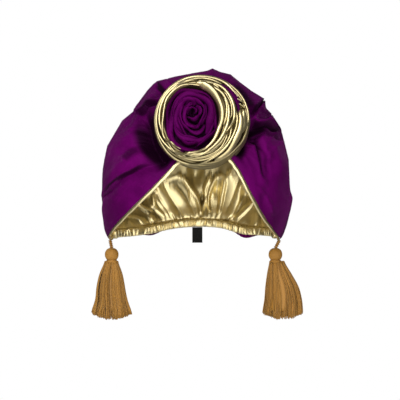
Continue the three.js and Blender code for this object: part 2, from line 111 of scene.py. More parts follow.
# How far the rosette draws the cloth in, and along which part of its length that eases off.
GATHER_DIP, GATHER_REACH = 1.8, (0.05, 0.34)
# Thickness of the outer cloth.
CLOTH = 1.2

# Unevenness of the outer cloth between its folds: waves across and along it, seed and height.
GATHERS = dict(across=60, slant=0, along=2.5, seed=3, height=1.9)
LONG_FOLDS = dict(across=22, slant=1.5, along=2.2, seed=11, height=1.3)
CRUMPLES = dict(across=46, slant=0, along=9, seed=17, height=0.45)
RUCHE = dict(count=62, along=3, height=1.1, reach=(0.82, 0.97))
RUCHE_UNEVEN = dict(wave=20, seed=5, height=0.35, octaves=3)
# Gathers begin and end along the cloth, and every unevenness fades out towards the front edges.
GATHERS_IN, GATHERS_OUT, EDGE_FADE, CREASE_EDGE_FADE = (0.02, 0.1), (0.1, 0.42), (0, 0.03), (0.004, 0.03)
CLOTH_GRID, CLOTH_ROW_CROWDING, CLOTH_UV_SIZE = (451, 205), 1.3, (0.52, 0.33)
# Where the hem sags: place across the cloth, half width and depth.
HEM_SAGS, HEM_FROM = [(0.325, 0.055, 2.6), (0.7, 0.07, 4.4)], 0.975

# Creases of the outer cloth as the camera sees them, across and up in the plane of the ears: how
# far the cloth stands out on the left of the line and goes in on its right, over what width, and how
# much painted shade lies along it.
CREASE_COLUMNS = ("line", "rise", "rise_width", "dip", "dip_width", "shade")
CREASES = [
    (((-106, 44), (-97, 54), (-83, 67), (-73, 73.7), (-62, 79), (-50, 83)), 2.4, 14, 3.0, 8, 0.0),
    (((-106, 48), (-95, 61.5), (-84, 67.7), (-75, 72.6), (-65, 78.6), (-50, 84)), -1.0, 3, 1.0, 3, 0.85),
    (((-62, 152), (-56, 130), (-53, 112), (-45, 94), (-26, 78)), -15.0, 23, 15.0, 20, 0.0),
    (((-60, 143), (-63, 122), (-61, 111), (-56, 102), (-48, 92.5), (-36, 83), (-20, 76)), 0, 13, 0, 13, 1.0),
    (((-46, 152), (-52, 133), (-51, 114), (-46, 98), (-35, 87), (-22, 78)), 0, 15, 0, 13, 1.0),
    (((-81, 87), (-72, 95), (-62, 99)), -0.8, 7, 0.8, 7, 0.6),
    (((-84, 84), (-70, 94), (-54, 97)), 2.2, 9, -2.2, 9, 0.0),
    (((-72, 141), (-60, 147.4), (-51, 151.8), (-40, 154.5)), 3.0, 11, 4.0, 10, 0.0),
    (((-74, 139), (-62, 147), (-54.5, 150.7), (-48, 151.8), (-38, 155)), -1.0, 3.4, 1.0, 3.4, 0.85),
    (((-60, 155), (-51, 157.5), (-40, 162), (-32, 166)), -2.4, 4, 2.4, 4, 0.3),
    (((-45, 175.5), (-39, 168), (-32, 161)), 3.0, 9, 4.0, 7, 0.0),
    (((-45, 175), (-40, 169.4), (-37, 165), (-30, 159)), -1.0, 4.5, 1.0, 4.5, 0.95),
    (((55, 138), (65.5, 145), (72, 150.7), (77, 158)), 4.0, 13, 4.5, 9, 0.0),
    (((79, 158), (75.4, 154), (67.7, 147.4), (56, 139)), -1.0, 4, 1.0, 4, 0.9),
    (((38, 173), (51, 160.6), (56.7, 150.7), (60, 136)), 0, 8, 0, 8, 0.9),
    (((55, 126), (70, 128.7), (83, 128.7), (95, 121)), 4.0, 10, 6.5, 13, 0.0),
    (((97, 119), (83, 126), (72, 128.2), (56, 130)), -1.0, 4.5, 1.0, 4.5, 0.95),
    (((82, 125), (68, 123.5), (61, 119), (58, 107)), 0, 10, 0, 10, 1.0),
    (((54, 124), (64, 118), (72, 112)), -11.0, 15, 11.0, 15, 0.4),
    (((58, 114), (67.7, 106.7), (71, 96), (74.5, 84.7), (76.5, 74), (78, 60)), -6.5, 6, 6.5, 6, 0.0),
    (((60, 119), (67.7, 104.5), (71, 92.4), (73.2, 81.4), (77, 64)), -0.8, 4.6, 0.8, 4.6, 0.85),
    (((56, 118), (52, 104), (42, 92)), -8.0, 12, 8.0, 12, 0.3),
    (((54, 116), (52, 107), (51, 99), (42, 86)), 0, 9, 0, 9, 1.0),
    (((72, 115), (77, 98), (82, 82)), 2.2, 7, -2.2, 7, 0.0),
    (((66, 60), (77, 43), (86, 24)), 2.6, 7, -2.6, 9, 0.0),
    (((-97, 108), (-86, 126), (-74, 142), (-62, 158), (-48, 176)), -7.5, 18, 7.5, 18, 0.0),
]
# Creases wander off their lines by noise of this height, size and seeds. Ends fade over a share of the
# line, the step between a crease's two sides is a few tenths of a millimetre wide, and a crease shows
# only on the front, up to this depth behind the ears.
CREASE_WANDER, CREASE_WAVE, CREASE_SEEDS = 1.2, 14, (91, 92)
CREASE_ENDS, CREASE_STEP, CREASE_POWER, CREASE_DEPTH = (0.18, 0.22), 0.9, 1.6, 45
# Painted shade along a crease reaches out to this share of its rise width, and is full within this share of
# that reach.
CREASE_SHADE_REACH, CREASE_SHADE_EDGE = 0.9, 0.3

# The cap's outline from the front, in the plane of the ears, from the left side over the crown.
OUTLINE = [
    (-104, 40),
    (-104, 65),
    (-103.4, 76),
    (-101.7, 87),
    (-98.5, 102),
    (-87.5, 121),
    (-82, 130.3),
    (-70.4, 139.7),
    (-68.7, 144),
    (-54.5, 163.3),
    (-47.9, 170.5),
    (-43.5, 173.8),
    (-23.6, 178.8),
    (-1.6, 183),
    (10.5, 185),
    (17.6, 187.8),
    (27, 183.7),
    (38, 181),
    (48, 172.7),
    (61, 162.8),
    (75.4, 154),
    (77, 144),
    (83, 137.5),
    (93, 122),
    (98.5, 100),
    (101.7, 87),
    (102.8, 60),
    (104, 40),
]
OUTLINE_MIDDLE, OUTLINE_STEPS, OUTLINE_POINTS = 30.0, 361, 1600
OUTLINE_ANGLES = np.linspace(0, 180, OUTLINE_STEPS)
# The cloth follows the outline from this share of its reach, and from this angle above the ears.
OUTLINE_NEAR, OUTLINE_LOW = (0.7, 0.97), (7, 16)
# The camera as the creases and the outline need it: distance in front of the ears, across and up.
VIEW_DISTANCE, VIEW_X, VIEW_HEIGHT = 2200.0, 3.85, 42.9

# Folds of the lining over the back wall, each along a few points across and up, from its top to the
# nape, or along the crest of an arch: half width on its left and right side, and how far it stands
# out of the wall. A pit goes inwards instead.
LINING_COLUMNS = ("crest", "left", "right", "out")
LINING_FOLDS = [
    (((-33.5, 59), (-28, 55), (-20, 45), (-14, 35), (-9.5, 26)), 8.0, 6.5, 3.2),
    (((-46, 59), (-42, 52), (-37, 42), (-29, 27)), 3.2, 8.5, 3.8),
    (((-33, 65.5), (-24, 68.5), (-15, 65.5), (-9.5, 59.5), (-4, 52), (1.5, 40), (4.3, 27)), 3.2, 2.8, 5.6),
    (((-8, 50), (-3, 38), (1, 27)), 4.4, 4.4, 2.6),
    (((15, 69), (12, 60), (9, 50)), 3.4, 2.8, 4.4),
    (((14, 49), (10, 41), (6, 32)), 2.6, 2.4, 3.8),
    (
        ((14, 29), (13.5, 43), (16.5, 57), (21, 66), (25.5, 68.5), (30, 66), (31, 59), (28, 46), (26, 29)),
        *(3, 3, 5.6),
    ),
    (((23, 62), (21, 50), (20, 29)), 5.0, 5.0, 1.8),
    (((37, 72), (38, 56), (33, 28)), 8.5, 8.5, 3.6),
    (((50, 58), (48, 46), (42.5, 34), (38.5, 25)), 8.0, 4.2, 4.6),
    (((63, 41), (54, 31), (46, 23)), 3.6, 4.0, 3.6),
    (((66, 27), (65, 20), (63, 12)), 3.6, 3.6, 3.2),
    (((75, 25), (76, 16), (75, 8)), 3.4, 3.4, 2.6),
    (((-38, 58), (-43.5, 52), (-48, 46), (-48, 38), (-53.5, 32), (-60.5, 33.5), (-66, 38)), 2.4, 2.4, 5),
    (((-45, 44), (-39, 36), (-34, 27)), 3.6, 3.4, 3.0),
    (((-48, 36), (-44, 31), (-38, 26)), 3.6, 3.0, 2.8),
    (((-79, 24), (-72, 24), (-64, 21)), 2.4, 2.4, 2.6),
    (((-76, 17), (-74, 10)), 4.2, 4.2, 3.0),
    (((-64, 22), (-58, 15)), 3.6, 3.6, 2.8),
    (((-53, 25), (-49, 19)), 3.6, 3.6, 2.8),
]
LINING_PIT = dict(line=((7, 49), (5, 39)), half=2.6, deep=4.5)
# Parts of the lining that lean back: middle across and up, half width and height, and slope.
LINING_SLOPES = [
    (-1, 70, 12, 19, 0.36),
    (-59, 46, 10, 11, 0.5),
    (57, 47, 9, 13, 0.5),
    (23, 53, 4, 14, 0.3),
]
# The lining's grid: columns crowd a little towards both ends, and it stops short of the front edges.
LINING_GRID, LINING_CROWDING, LINING_ROW_CROWDING, LINING_UV_SIZE = (521, 179), 0.07, 1.5, (0.5, 0.33)
LINING_INSET, LINING_LAST_ROW, LINING_EDGES = 0.004, 0.985, (0.01, 0.05)
LINING_AIR, LINING_ROOM, LINING_SOFTENING = 1.2, 2.6, 3
# The lining lies under the lowest fold of the outer cloth among these neighbouring columns.
LINING_NEIGHBOURS = range(-8, 9, 2)
# Depth behind the ears over which the side walls become the folded back wall.
BACK_WALL = (20, 50)
# A fold's section is flat on top and steep at its foot, and starts narrower at its top end.
FOLD_FLATNESS, FOLD_STEEPNESS, FOLD_START, FOLD_START_LENGTH = 2.6, 0.55, 0.55, 0.3
# Unevenness of the lining: size of its waves across and up, seed, octaves and height.
LINING_WANDER, LINING_SWELL, LINING_GROUND = (16, 14, 23, 1, 1.2), (13, 26, 29, 2, 0.8), 0.9
LINING_CRUMPLE = dict(across=9, slant=16, up=12, seed=31, middle=0.35, corners=1.2, reach=(45, 75))
# Valleys get painted shade where the cloth stands out by less than these heights.
VALLEY_SHADE, VALLEY_HEIGHTS, VALLEY_ABOVE = 0.75, (0.2, 1.8), (9, 14)
# The wall leans back less than the dome, by this slope above the casing and up to these heights.
UPRIGHT_SLOPE, UPRIGHT_FROM, UPRIGHT_TO = 0.22, 8, (60, 110)
# Small gathers and a bulge just above the casing.
TIGHT_GATHERS, TIGHT_UNEVEN = dict(count=62, height=0.6, top=(9, 16)), dict(wave=30, seed=41, height=0.6)
FOLDS_ABOVE, BULGE, BULGE_FROM, BULGE_TO = (6, 9.5), 2.6, (5.5, 8.5), (12, 26)
FACING_FRONT = np.array([0, -1.0, 0.12])


def smooth(low, high, x):
    t = np.clip((x - low) / (high - low), 0, 1)
    return t * t * (3 - 2 * t)


def unit(vectors):
    return vectors / np.maximum(np.linalg.norm(vectors, axis=-1, keepdims=True), 1e-9)


def from_ends(share, fade):
    """0 at both ends of a share from 0 to 1, and 1 between them."""
    return smooth(*fade, share) * smooth(*fade, 1 - share)


def stacked(x, y, z):
    """Points from their coordinates, each of them a number or an array."""
    return np.stack(np.broadcast_arrays(x, y, z), -1)


def rows(columns, table):
    return [dict(zip(columns, row)) for row in table]


def guide_curve(points, t):
    """A smooth curve through a table's points, with t from 0 to 1."""
    points = np.array(points, float)
    place = np.clip(t, 0, 1) * (len(points) - 1)
    i = np.minimum(place.astype(int), len(points) - 2)
    w = (place - i)[..., None]
    padded = np.vstack([2 * points[0] - points[1], points, 2 * points[-1] - points[-2]])
    p0, p1, p2, p3 = (padded[i + k] for k in range(4))
    steps = (p1 - p0, p2 - p1, p3 - p2)
    d0, d1, d2 = (np.linalg.norm(step, axis=-1, keepdims=True) ** 0.5 for step in steps)
    a = ((p1 - p0) / d0 - (p2 - p0) / (d0 + d1) + (p2 - p1) / d1) * d1
    b = ((p2 - p1) / d1 - (p3 - p1) / (d1 + d2) + (p3 - p2) / d2) * d1
    return p1 + a * w + (3 * (p2 - p1) - 2 * a - b) * w**2 + (2 * (p1 - p2) + a + b) * w**3


def dome_radius(direction):
    x, y, z = np.moveaxis(direction, -1, 0)
    view = np.hypot(x / CAP["half_width"], z / np.where(z > 0, CAP["rise"], CAP["drop"]))
    depth = np.where(y < 0, CAP["depth_front"], CAP["depth_back"])
    fullness = np.where(y < 0, FRONT_FULLNESS, BACK_FULLNESS)
    return (view**fullness + (np.abs(y) / depth) ** fullness) ** (-1 / fullness)


def nape_inward(u):
    after, before = (guide_curve(NAPE_GUIDE, np.clip(u + aside, 0, 1)) for aside in (1e-4, -1e-4))
    step = after - before
    return unit(np.stack([step[..., 1], -step[..., 0], 0 * step[..., 0]], -1))


def cap_point(u, v, lift):
    """A point of the cap: u across the cloth, v from the rosette to the nape, lifted off the dome."""
    u, v, lift = np.broadcast_arrays(u, v, lift)
    angle = np.radians(GATHER["left"] + (GATHER["right"] - GATHER["left"]) * u)
    gather = stacked(
        GATHER["x"] + GATHER["radius"] * np.cos(angle),
        -CAP["depth_front"],
        GATHER["height"] + GATHER["radius"] * np.sin(angle),
    )
    nape = guide_curve(NAPE_GUIDE, u)
    w = v[..., None]
    crown = guide_curve(CROWN_GUIDE, u)
    through = (1 - w) * (1 - 2 * w) * gather + 4 * w * (1 - w) * crown + w * (2 * w - 1) * nape
    direction = unit(through - MIDDLE)
    point = direction * (dome_radius(direction) + lift)[..., None] + MIDDLE
    sideways = np.interp(v, np.linspace(0, 1, len(RIGHT_EDGE)), RIGHT_EDGE)
    point[..., 0] += sideways * smooth(RIGHT_EDGE_FROM, 1, u)
    blend = (smooth(NAPE_FROM, 1, v) ** NAPE_SHARPNESS)[..., None]
    return point * (1 - blend) + (nape - nape_inward(u) * lift[..., None]) * blend


def ridge(offset, width, lean=0.0):
    half = width * np.where(offset < 0, 1 + lean, 1 - lean)
    return 0.5 + 0.5 * np.cos(np.pi * np.minimum(1, np.abs(offset) / half))


NOISE_GRID, OCTAVE_SEED_STEP = 64, 31


def noise(x, y, seed, octaves=3):
    """Smooth noise from -1 to 1 on a plane."""
    total, weight, norm = np.zeros(np.broadcast(x, y).shape), 1.0, 0.0
    for octave in range(octaves):
        rng = np.random.default_rng(seed + OCTAVE_SEED_STEP * octave)
        values = rng.uniform(-1, 1, (NOISE_GRID, NOISE_GRID))
        fx, fy = np.broadcast_arrays(x * 2**octave, y * 2**octave)
        ix, iy = np.floor(fx).astype(int), np.floor(fy).astype(int)
        sx, sy = fx - ix, fy - iy
        sx, sy = sx * sx * (3 - 2 * sx), sy * sy * (3 - 2 * sy)
        (left, right), (low, high) = ((k % NOISE_GRID, (k + 1) % NOISE_GRID) for k in (ix, iy))
        a, b, c, d = values[left, low], values[right, low], values[left, high], values[right, high]
        value = a * (1 - sx) * (1 - sy) + b * sx * (1 - sy) + c * (1 - sx) * sy + d * sx * sy
        total = total + weight * value
        norm, weight = norm + weight, weight * 0.5
    return total / norm


def wavy(form, x, y=0.0):
    """Seeded unevenness of a form's height, with its waves along x."""
    return form["height"] * noise(x * form["wave"], y, form["seed"], form.get("octaves", 2))


def small_gathers(u, count, form, y=0.0):
    """Cloth drawn up by a seam, from 0 in the stitched valleys to 1 on the gathers."""
    return np.abs(np.sin(np.pi * (u * count + wavy(form, u, y))))


def pleats(u, v):
    """Height of the outer cloth's pleats, and how far each point is lapped sideways."""
    height = -GATHER_DIP * (1 - smooth(*GATHER_REACH, v))
    lap = np.zeros(np.broadcast(u, v).shape)
    for row in rows(PLEAT_COLUMNS, PLEATS):
        share = np.clip((v - PLEAT_NEAR) / PLEAT_FAR_FROM_NEAR, -0.5, 1.5)
        place = row["near"] + (row["far"] - row["near"]) * share
        last, gone = row["end"] - PLEAT_FADE_OUT[0], row["end"] + PLEAT_FADE_OUT[1]
        fade = smooth(row["start"], row["start"] + PLEAT_FADE_IN, v) * (1 - smooth(last, gone, v))
        shape = ridge(u - place, row["width"], row["lean"]) * fade
        height = height + row["height"] * shape
        lap = lap + row["lap"] * shape**2
    return height, lap


# Meshes


def piece(name, points, faces, material, nodes, uvs, painted_shade):
    """A mesh piece from points in millimetres, which stands for the named CAD nodes."""
    points = np.asarray(points, float).reshape(-1, 3)
    mesh = bpy.data.meshes.new(name)
    mesh.from_pydata(((points - (0, 0, SEAT_HEIGHT)) / 1000).tolist(), [], faces)
    mesh.validate()
    layer = mesh.uv_layers.new(name="cloth")
    index = np.empty(len(mesh.loops), int)
    mesh.loops.foreach_get("vertex_index", index)
    layer.data.foreach_set("uv", np.asarray(uvs, float).reshape(-1, 2)[index].ravel())
    # Each point carries its painted shade, which the materials mix towards a dark colour.
    mesh.attributes.new("painted_shade", "FLOAT", "POINT").data.foreach_set("value", np.ravel(painted_shade))
    mesh.polygons.foreach_set("use_smooth", [True] * len(mesh.polygons))
    mesh.materials.append(material)
    obj = bpy.data.objects.new(name, mesh)
    bpy.context.scene.collection.objects.link(obj)
    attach(obj, "root")
    if nodes:
        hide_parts(*nodes)
    return obj


def grid_faces(columns, count, ring=False, start=0):
    """Quads of a grid of columns by count points, where ring joins each column's end to its start."""
    i, j = np.meshgrid(np.arange(columns - 1), np.arange(count if ring else count - 1), indexing="ij")
    a, b = start + i * count + j, start + i * count + (j + 1) % count
    return np.stack([a, a + count, b + count, b], -1).reshape(-1, 4).tolist()


class Tubes:
    """Many swept bodies joined into one mesh."""

    def __init__(self):
        self.points, self.faces, self.uvs, self.shades, self.size = [], [], [], [], 0

    # Each body may carry painted shade, for all of it or per point.
    def add(self, sections, closed=False, shade=0.0):
        count, sides = sections.shape[:2]
        self.shades.append(np.broadcast_to(shade, (count, sides)).ravel())
        faces = grid_faces(count, sides, ring=True, start=self.size)
        if closed:
            last, first = self.size + (count - 1) * sides, self.size
            for k in range(sides):
                after = (k + 1) % sides
                faces.append([last + k, first + k, first + after, last + after])
        else:
            faces.append(list(range(self.size, self.size + sides)))
            faces.append(list(range(self.size + count * sides - 1, self.size + (count - 1) * sides - 1, -1)))
        middle = sections.mean(1)
        run = np.concatenate([[0], np.cumsum(np.linalg.norm(np.diff(middle, axis=0), axis=1))])
        side = np.linalg.norm(sections[:, 1] - sections[:, 0], axis=1).mean()
        rim = side * np.arange(sides)
        self.uvs.append(np.stack(np.broadcast_arrays(run[:, None], rim[None]), -1).reshape(-1, 2))
        self.points.append(sections.reshape(-1, 3))
        self.faces += faces
        self.size += count * sides

    def piece(self, name, material, slot, nodes=()):
        points, uvs, painted_shade = (np.concatenate(parts) for parts in (self.points, self.uvs, self.shades))
        piece(name, points, self.faces, material, nodes, uvs / 1000, painted_shade)


def tube_sections(path, across, normal, half_width, half_height, sides=12, squareness=1.0):
    """Oval sections along a path; squareness below 1 fills out the corners."""
    angle = np.linspace(0, 2 * np.pi, sides, endpoint=False)
    c, s = (np.sign(f) * np.abs(f) ** squareness for f in (np.cos(angle), np.sin(angle)))
    wide, high = (np.broadcast_to(half, len(path))[:, None, None] for half in (half_width, half_height))
    return path[:, None] + across[:, None] * wide * c[:, None] + normal[:, None] * high * s[:, None]


# Materials


FLOAT, COLOUR, VECTOR = "NodeSocketFloat", "NodeSocketColor", "NodeSocketVector"
# Slubs run along the two threads: how often they change along and across, per metre.
SLUB_STREAKS = ((60.0, 1400.0, 1.0), (1800.0, 45.0, 1.0))
SLUB_LEVEL, SLUB_SOFTNESS = 0.55, 0.05
WEAVE_HEIGHT, SLUB_HEIGHT = 0.3, 3.0
# Crinkles of the foil and its rubbed places, per metre.
CRINKLE_BROAD, CRINKLE_FINE, CRINKLE_RUB, FINE_HEIGHT = 130.0, 900.0, 60.0, 0.25
RUB_LEVEL, RUB_SOFTNESS = 0.5, 0.1


def node_group(name, inputs, outputs):
    """A shader group, with its inputs (label, kind, value) and outputs (label, kind), and its two ends."""
    group = bpy.data.node_groups.new(name, "ShaderNodeTree")
    for label, kind, value in inputs:
        socket = group.interface.new_socket(label, in_out="INPUT", socket_type=kind)
        if value is not None:
            socket.default_value = value
    for label, kind in outputs:
        group.interface.new_socket(label, in_out="OUTPUT", socket_type=kind)
    return group, group.nodes.new("NodeGroupInput"), group.nodes.new("NodeGroupOutput")


def add_node(tree, kind, inputs=(), **settings):
    node = tree.nodes.new(kind)
    for key, value in settings.items():
        setattr(node, key, value)
    for key, value in dict(inputs).items():
        if isinstance(value, bpy.types.NodeSocket):
            tree.links.new(value, node.inputs[key])
        else:
            node.inputs[key].default_value = value
    return node


def maths(tree, operation, first, second=0.0, third=0.0):
    inputs = {0: first, 1: second, 2: third}
    return add_node(tree, "ShaderNodeMath", inputs, operation=operation).outputs[0]


def noise_field(tree, vector, scale, detail):
    inputs = {"Vector": vector, "Scale": scale, "Detail": detail}
    return add_node(tree, "ShaderNodeTexNoise", inputs).outputs["Fac"]


def above_level(tree, field, level, softness):
    """0 where a field is below a level, and what it is over the level above it."""
    return maths(tree, "SMOOTH_MAX", maths(tree, "SUBTRACT", field, level), 0.0, softness)


def mix_colour(tree, factor, first, second):
    node = add_node(tree, "ShaderNodeMix", {"Factor": factor}, data_type="RGBA")
    for key, colour in (("A", first), ("B", second)):
        if isinstance(colour, bpy.types.NodeSocket):
            tree.links.new(colour, node.inputs[key])
        else:
            node.inputs[key].default_value = (*colour, 1)
    return node.outputs["Result"]


def weave_group():
    """Plain weave from cloth coordinates in metres: its height, and its slubs as a mask."""
    group, source, target = node_group(
        "Cloth weave",
        [("Vector", VECTOR, None), ("Thread", FLOAT, 0.0004), ("Slub", FLOAT, 1.0)],
        [("Height", FLOAT), ("Slub", FLOAT)],
    )
    split = add_node(group, "ShaderNodeSeparateXYZ", {0: source.outputs["Vector"]})
    turns = [maths(group, "DIVIDE", split.outputs[k], source.outputs["Thread"]) for k in (0, 1)]
    waves = [maths(group, "SINE", maths(group, "MULTIPLY", turn, np.pi)) for turn in turns]
    weave = maths(group, "MULTIPLY", waves[0], waves[1])
    streaks = []
    for stretch in SLUB_STREAKS:
        inputs = {0: source.outputs["Vector"], 1: stretch}
        scaled = add_node(group, "ShaderNodeVectorMath", inputs, operation="MULTIPLY").outputs[0]
        streaks.append(above_level(group, noise_field(group, scaled, 1.0, 2.0), SLUB_LEVEL, SLUB_SOFTNESS))
    slub = maths(group, "MULTIPLY", maths(group, "ADD", streaks[0], streaks[1]), source.outputs["Slub"])
    height = maths(group, "MULTIPLY_ADD", weave, WEAVE_HEIGHT, maths(group, "MULTIPLY", slub, SLUB_HEIGHT))
    group.links.new(height, target.inputs["Height"])
    group.links.new(slub, target.inputs["Slub"])
    return group


def crinkle_group():
    """Fine crinkles of foil cloth: height, and a mask of where the foil is rubbed."""
    group, source, target = node_group(
        "Foil crinkle",
        [("Vector", VECTOR, None), ("Size", FLOAT, 1.0)],
        [("Height", FLOAT), ("Rubbed", FLOAT)],
    )
    size = add_node(group, "ShaderNodeVectorMath", {0: source.outputs["Vector"]}, operation="SCALE")
    group.links.new(source.outputs["Size"], size.inputs["Scale"])
    broad = noise_field(group, size.outputs[0], CRINKLE_BROAD, 3.0)
    fine = noise_field(group, size.outputs[0], CRINKLE_FINE, 2.0)
    rub = noise_field(group, size.outputs[0], CRINKLE_RUB, 4.0)
    height = maths(group, "MULTIPLY_ADD", fine, FINE_HEIGHT, broad)
    group.links.new(height, target.inputs["Height"])
    group.links.new(above_level(group, rub, RUB_LEVEL, RUB_SOFTNESS), target.inputs["Rubbed"])
    return group


def grain_group():
    """Uneven dye: a slow change from 0 to 1 in object space."""
    group, source, target = node_group("Uneven dye", [("Scale", FLOAT, 20.0)], [("Fac", FLOAT)])
    place = add_node(group, "ShaderNodeTexCoord").outputs["Object"]
    group.links.new(noise_field(group, place, source.outputs["Scale"], 3.0), target.inputs["Fac"])
    return group


def shade_group():
    """Painted shade: the colour moves towards a dark one as far as the mask says."""
    group, source, target = node_group(
        "Painted shade",
        [
            ("Mask", FLOAT, 0.0),
            ("Strength", FLOAT, 1.0),
            ("Colour", COLOUR, None),
            ("Deep", COLOUR, None),
        ],
        [("Colour", COLOUR)],
    )
    share = maths(group, "MULTIPLY", source.outputs["Mask"], source.outputs["Strength"])
    mixed = mix_colour(group, share, source.outputs["Colour"], source.outputs["Deep"])
    group.links.new(mixed, target.inputs["Colour"])
    return group


WEAVE, CRINKLE, DYE, SHADE = weave_group(), crinkle_group(), grain_group(), shade_group()


def group_node(tree, group, inputs=()):
    return add_node(tree, "ShaderNodeGroup", inputs, node_tree=group)


def cloth_place(tree):
    """Place on the flat cloth, in metres."""
    return add_node(tree, "ShaderNodeUVMap", uv_map="cloth").outputs[0]


def material(name, settings):
    mat = bpy.data.materials.new(name)
    mat.use_nodes = True
    shader = mat.node_tree.nodes["Principled BSDF"]
    for key, value in settings.items():
        shader.inputs[key].default_value = value
    return mat, mat.node_tree, shader


def bump(tree, shader, height, distance):
    node = add_node(tree, "ShaderNodeBump", {"Height": height, "Distance": distance, "Strength": 1.0})
    tree.links.new(node.outputs[0], shader.inputs["Normal"])


def ranged(tree, value, low, high):
    """A field from 0 to 1, taken to run from low to high."""
    return add_node(tree, "ShaderNodeMapRange", {"Value": value, "To Min": low, "To Max": high}).outputs[0]


def with_painted_shade(tree, colour, deep, strength):
    """The colour, moved towards a dark one by the painted shade that the mesh carries."""
    mask = add_node(tree, "ShaderNodeAttribute", attribute_name="painted_shade").outputs["Fac"]
    inputs = {"Mask": mask, "Strength": strength, "Colour": colour, "Deep": (*deep, 1)}
    return group_node(tree, SHADE, inputs).outputs["Colour"]


# Fixed sockets of the materials.
SILK_LOOK = {
    "Specular IOR Level": 0.14,
    "Specular Tint": (0.75, 0.12, 0.7, 1),
    "Sheen Weight": 0.03,
    "Sheen Roughness": 0.4,
    "Sheen Tint": (0.6, 0.1, 0.6, 1),
}
LAME_LOOK = {"Metallic": 0.95}
THREAD_LOOK = {
    "Roughness": 0.5,
    "Specular IOR Level": 0.35,
    "Sheen Weight": 0.2,
    "Sheen Tint": (1, 0.85, 0.6, 1),
}
LABEL_LOOK = {"Roughness": 0.5, "Specular IOR Level": 0.12}
# Colours: dark and light patches of the silk's dye, its slubs, and the dark colour and strength of its
# painted shade, and so on for the others.
SILK_DARK, SILK_LIGHT, SILK_SLUB = (0.078, 0.0007, 0.066), (0.134, 0.0013, 0.113), (0.2, 0.003, 0.17)
SILK_PAINTED_SHADE, FOIL_PAINTED_SHADE = ((0.004, 0.0004, 0.003), 0.97), ((0.10, 0.07, 0.02), 1.0)
FOIL_BRIGHT, FOIL_RUBBED = (0.9, 0.76, 0.41), (0.74, 0.61, 0.31)
THREAD_DARK, THREAD_LIGHT, THREAD_WORN = (0.34, 0.16, 0.022), (0.57, 0.275, 0.044), (0.25, 0.115, 0.016)
LABEL_GROUND, LABEL_SLUB = (0.003, 0.003, 0.003), (0.012, 0.012, 0.013)
# Where the silk's dye passes from dark to light, and how strongly slubs and rubbed places show.
DYE_PATCHES, SLUB_SHOW, RUBBED_SHOW = (0.35, 0.65), 2.0, 3.0
SILK_ROUGHNESS, FOIL_ROUGHNESS, WORN_SHARE, WEAVE_IN_FOIL = (0.4, 0.52), (0.37, 0.5), (0.0, 0.5), 0.15
# Width of the woven threads and depth of the bumps, in metres.
SILK_THREAD, FOIL_THREAD, TWIST_THREAD = 0.00035, 0.0003, 0.0005
SILK_BUMP, FOIL_BUMP, THREAD_BUMP = 0.00008, 0.00006, 0.00012


def silk_material():
    mat, tree, shader = material("violet_silk", SILK_LOOK)
    weave = group_node(tree, WEAVE, {"Vector": cloth_place(tree), "Thread": SILK_THREAD})
    dye = group_node(tree, DYE, {"Scale": 24.0})
    inputs = {"Value": dye.outputs["Fac"], "From Min": DYE_PATCHES[0], "From Max": DYE_PATCHES[1]}
    patches = add_node(tree, "ShaderNodeMapRange", inputs).outputs[0]
    ground = mix_colour(tree, patches, SILK_DARK, SILK_LIGHT)
    slubs = maths(tree, "MULTIPLY", weave.outputs["Slub"], SLUB_SHOW)
    streaked = mix_colour(tree, slubs, ground, SILK_SLUB)
    tree.links.new(with_painted_shade(tree, streaked, *SILK_PAINTED_SHADE), shader.inputs["Base Color"])
    tree.links.new(ranged(tree, dye.outputs["Fac"], *SILK_ROUGHNESS), shader.inputs["Roughness"])
    bump(tree, shader, weave.outputs["Height"], SILK_BUMP)
    return mat


def lame_material():
    mat, tree, shader = material("gold_lame", LAME_LOOK)
    weave = group_node(tree, WEAVE, {"Vector": cloth_place(tree), "Thread": FOIL_THREAD, "Slub": 0.3})
    crinkle = group_node(tree, CRINKLE, {"Vector": cloth_place(tree)})
    rubbed = maths(tree, "MULTIPLY", crinkle.outputs["Rubbed"], RUBBED_SHOW)
    foil = mix_colour(tree, rubbed, FOIL_BRIGHT, FOIL_RUBBED)
    tree.links.new(with_painted_shade(tree, foil, *FOIL_PAINTED_SHADE), shader.inputs["Base Color"])
    tree.links.new(ranged(tree, crinkle.outputs["Rubbed"], *FOIL_ROUGHNESS), shader.inputs["Roughness"])
    height = maths(tree, "MULTIPLY_ADD", weave.outputs["Height"], WEAVE_IN_FOIL, crinkle.outputs["Height"])
    bump(tree, shader, height, FOIL_BUMP)
    return mat


def thread_material():
    mat, tree, shader = material("gold_thread", THREAD_LOOK)
    strand = add_node(tree, "ShaderNodeNewGeometry").outputs["Random Per Island"]
    dye = group_node(tree, DYE, {"Scale": 45.0})
    ground = mix_colour(tree, strand, THREAD_DARK, THREAD_LIGHT)
    colour = mix_colour(tree, ranged(tree, dye.outputs["Fac"], *WORN_SHARE), ground, THREAD_WORN)
    tree.links.new(colour, shader.inputs["Base Color"])
    weave = group_node(tree, WEAVE, {"Vector": cloth_place(tree), "Thread": TWIST_THREAD, "Slub": 0.5})
    bump(tree, shader, weave.outputs["Height"], THREAD_BUMP)
    return mat


def label_material():
    mat, tree, shader = material("black_satin", LABEL_LOOK)
    place = add_node(tree, "ShaderNodeTexCoord").outputs["Object"]
    weave = group_node(tree, WEAVE, {"Vector": place, "Thread": FOIL_THREAD, "Slub": 0.4})
    slubs = maths(tree, "MULTIPLY", weave.outputs["Slub"], SLUB_SHOW)
    colour = mix_colour(tree, slubs, LABEL_GROUND, LABEL_SLUB)
    tree.links.new(colour, shader.inputs["Base Color"])
    bump(tree, shader, weave.outputs["Height"], SILK_BUMP)
    return mat


SILK, LAME, THREAD, BLACK = silk_material(), lame_material(), thread_material(), label_material()


# Cap


def seen(points):
    """Where the camera sees points in the plane of the ears: across and up."""
    x, y, z = np.moveaxis(points, -1, 0)
    nearness = VIEW_DISTANCE / (VIEW_DISTANCE + y)
    return VIEW_X + (x - VIEW_X) * nearness, VIEW_HEIGHT + (z - VIEW_HEIGHT) * nearness


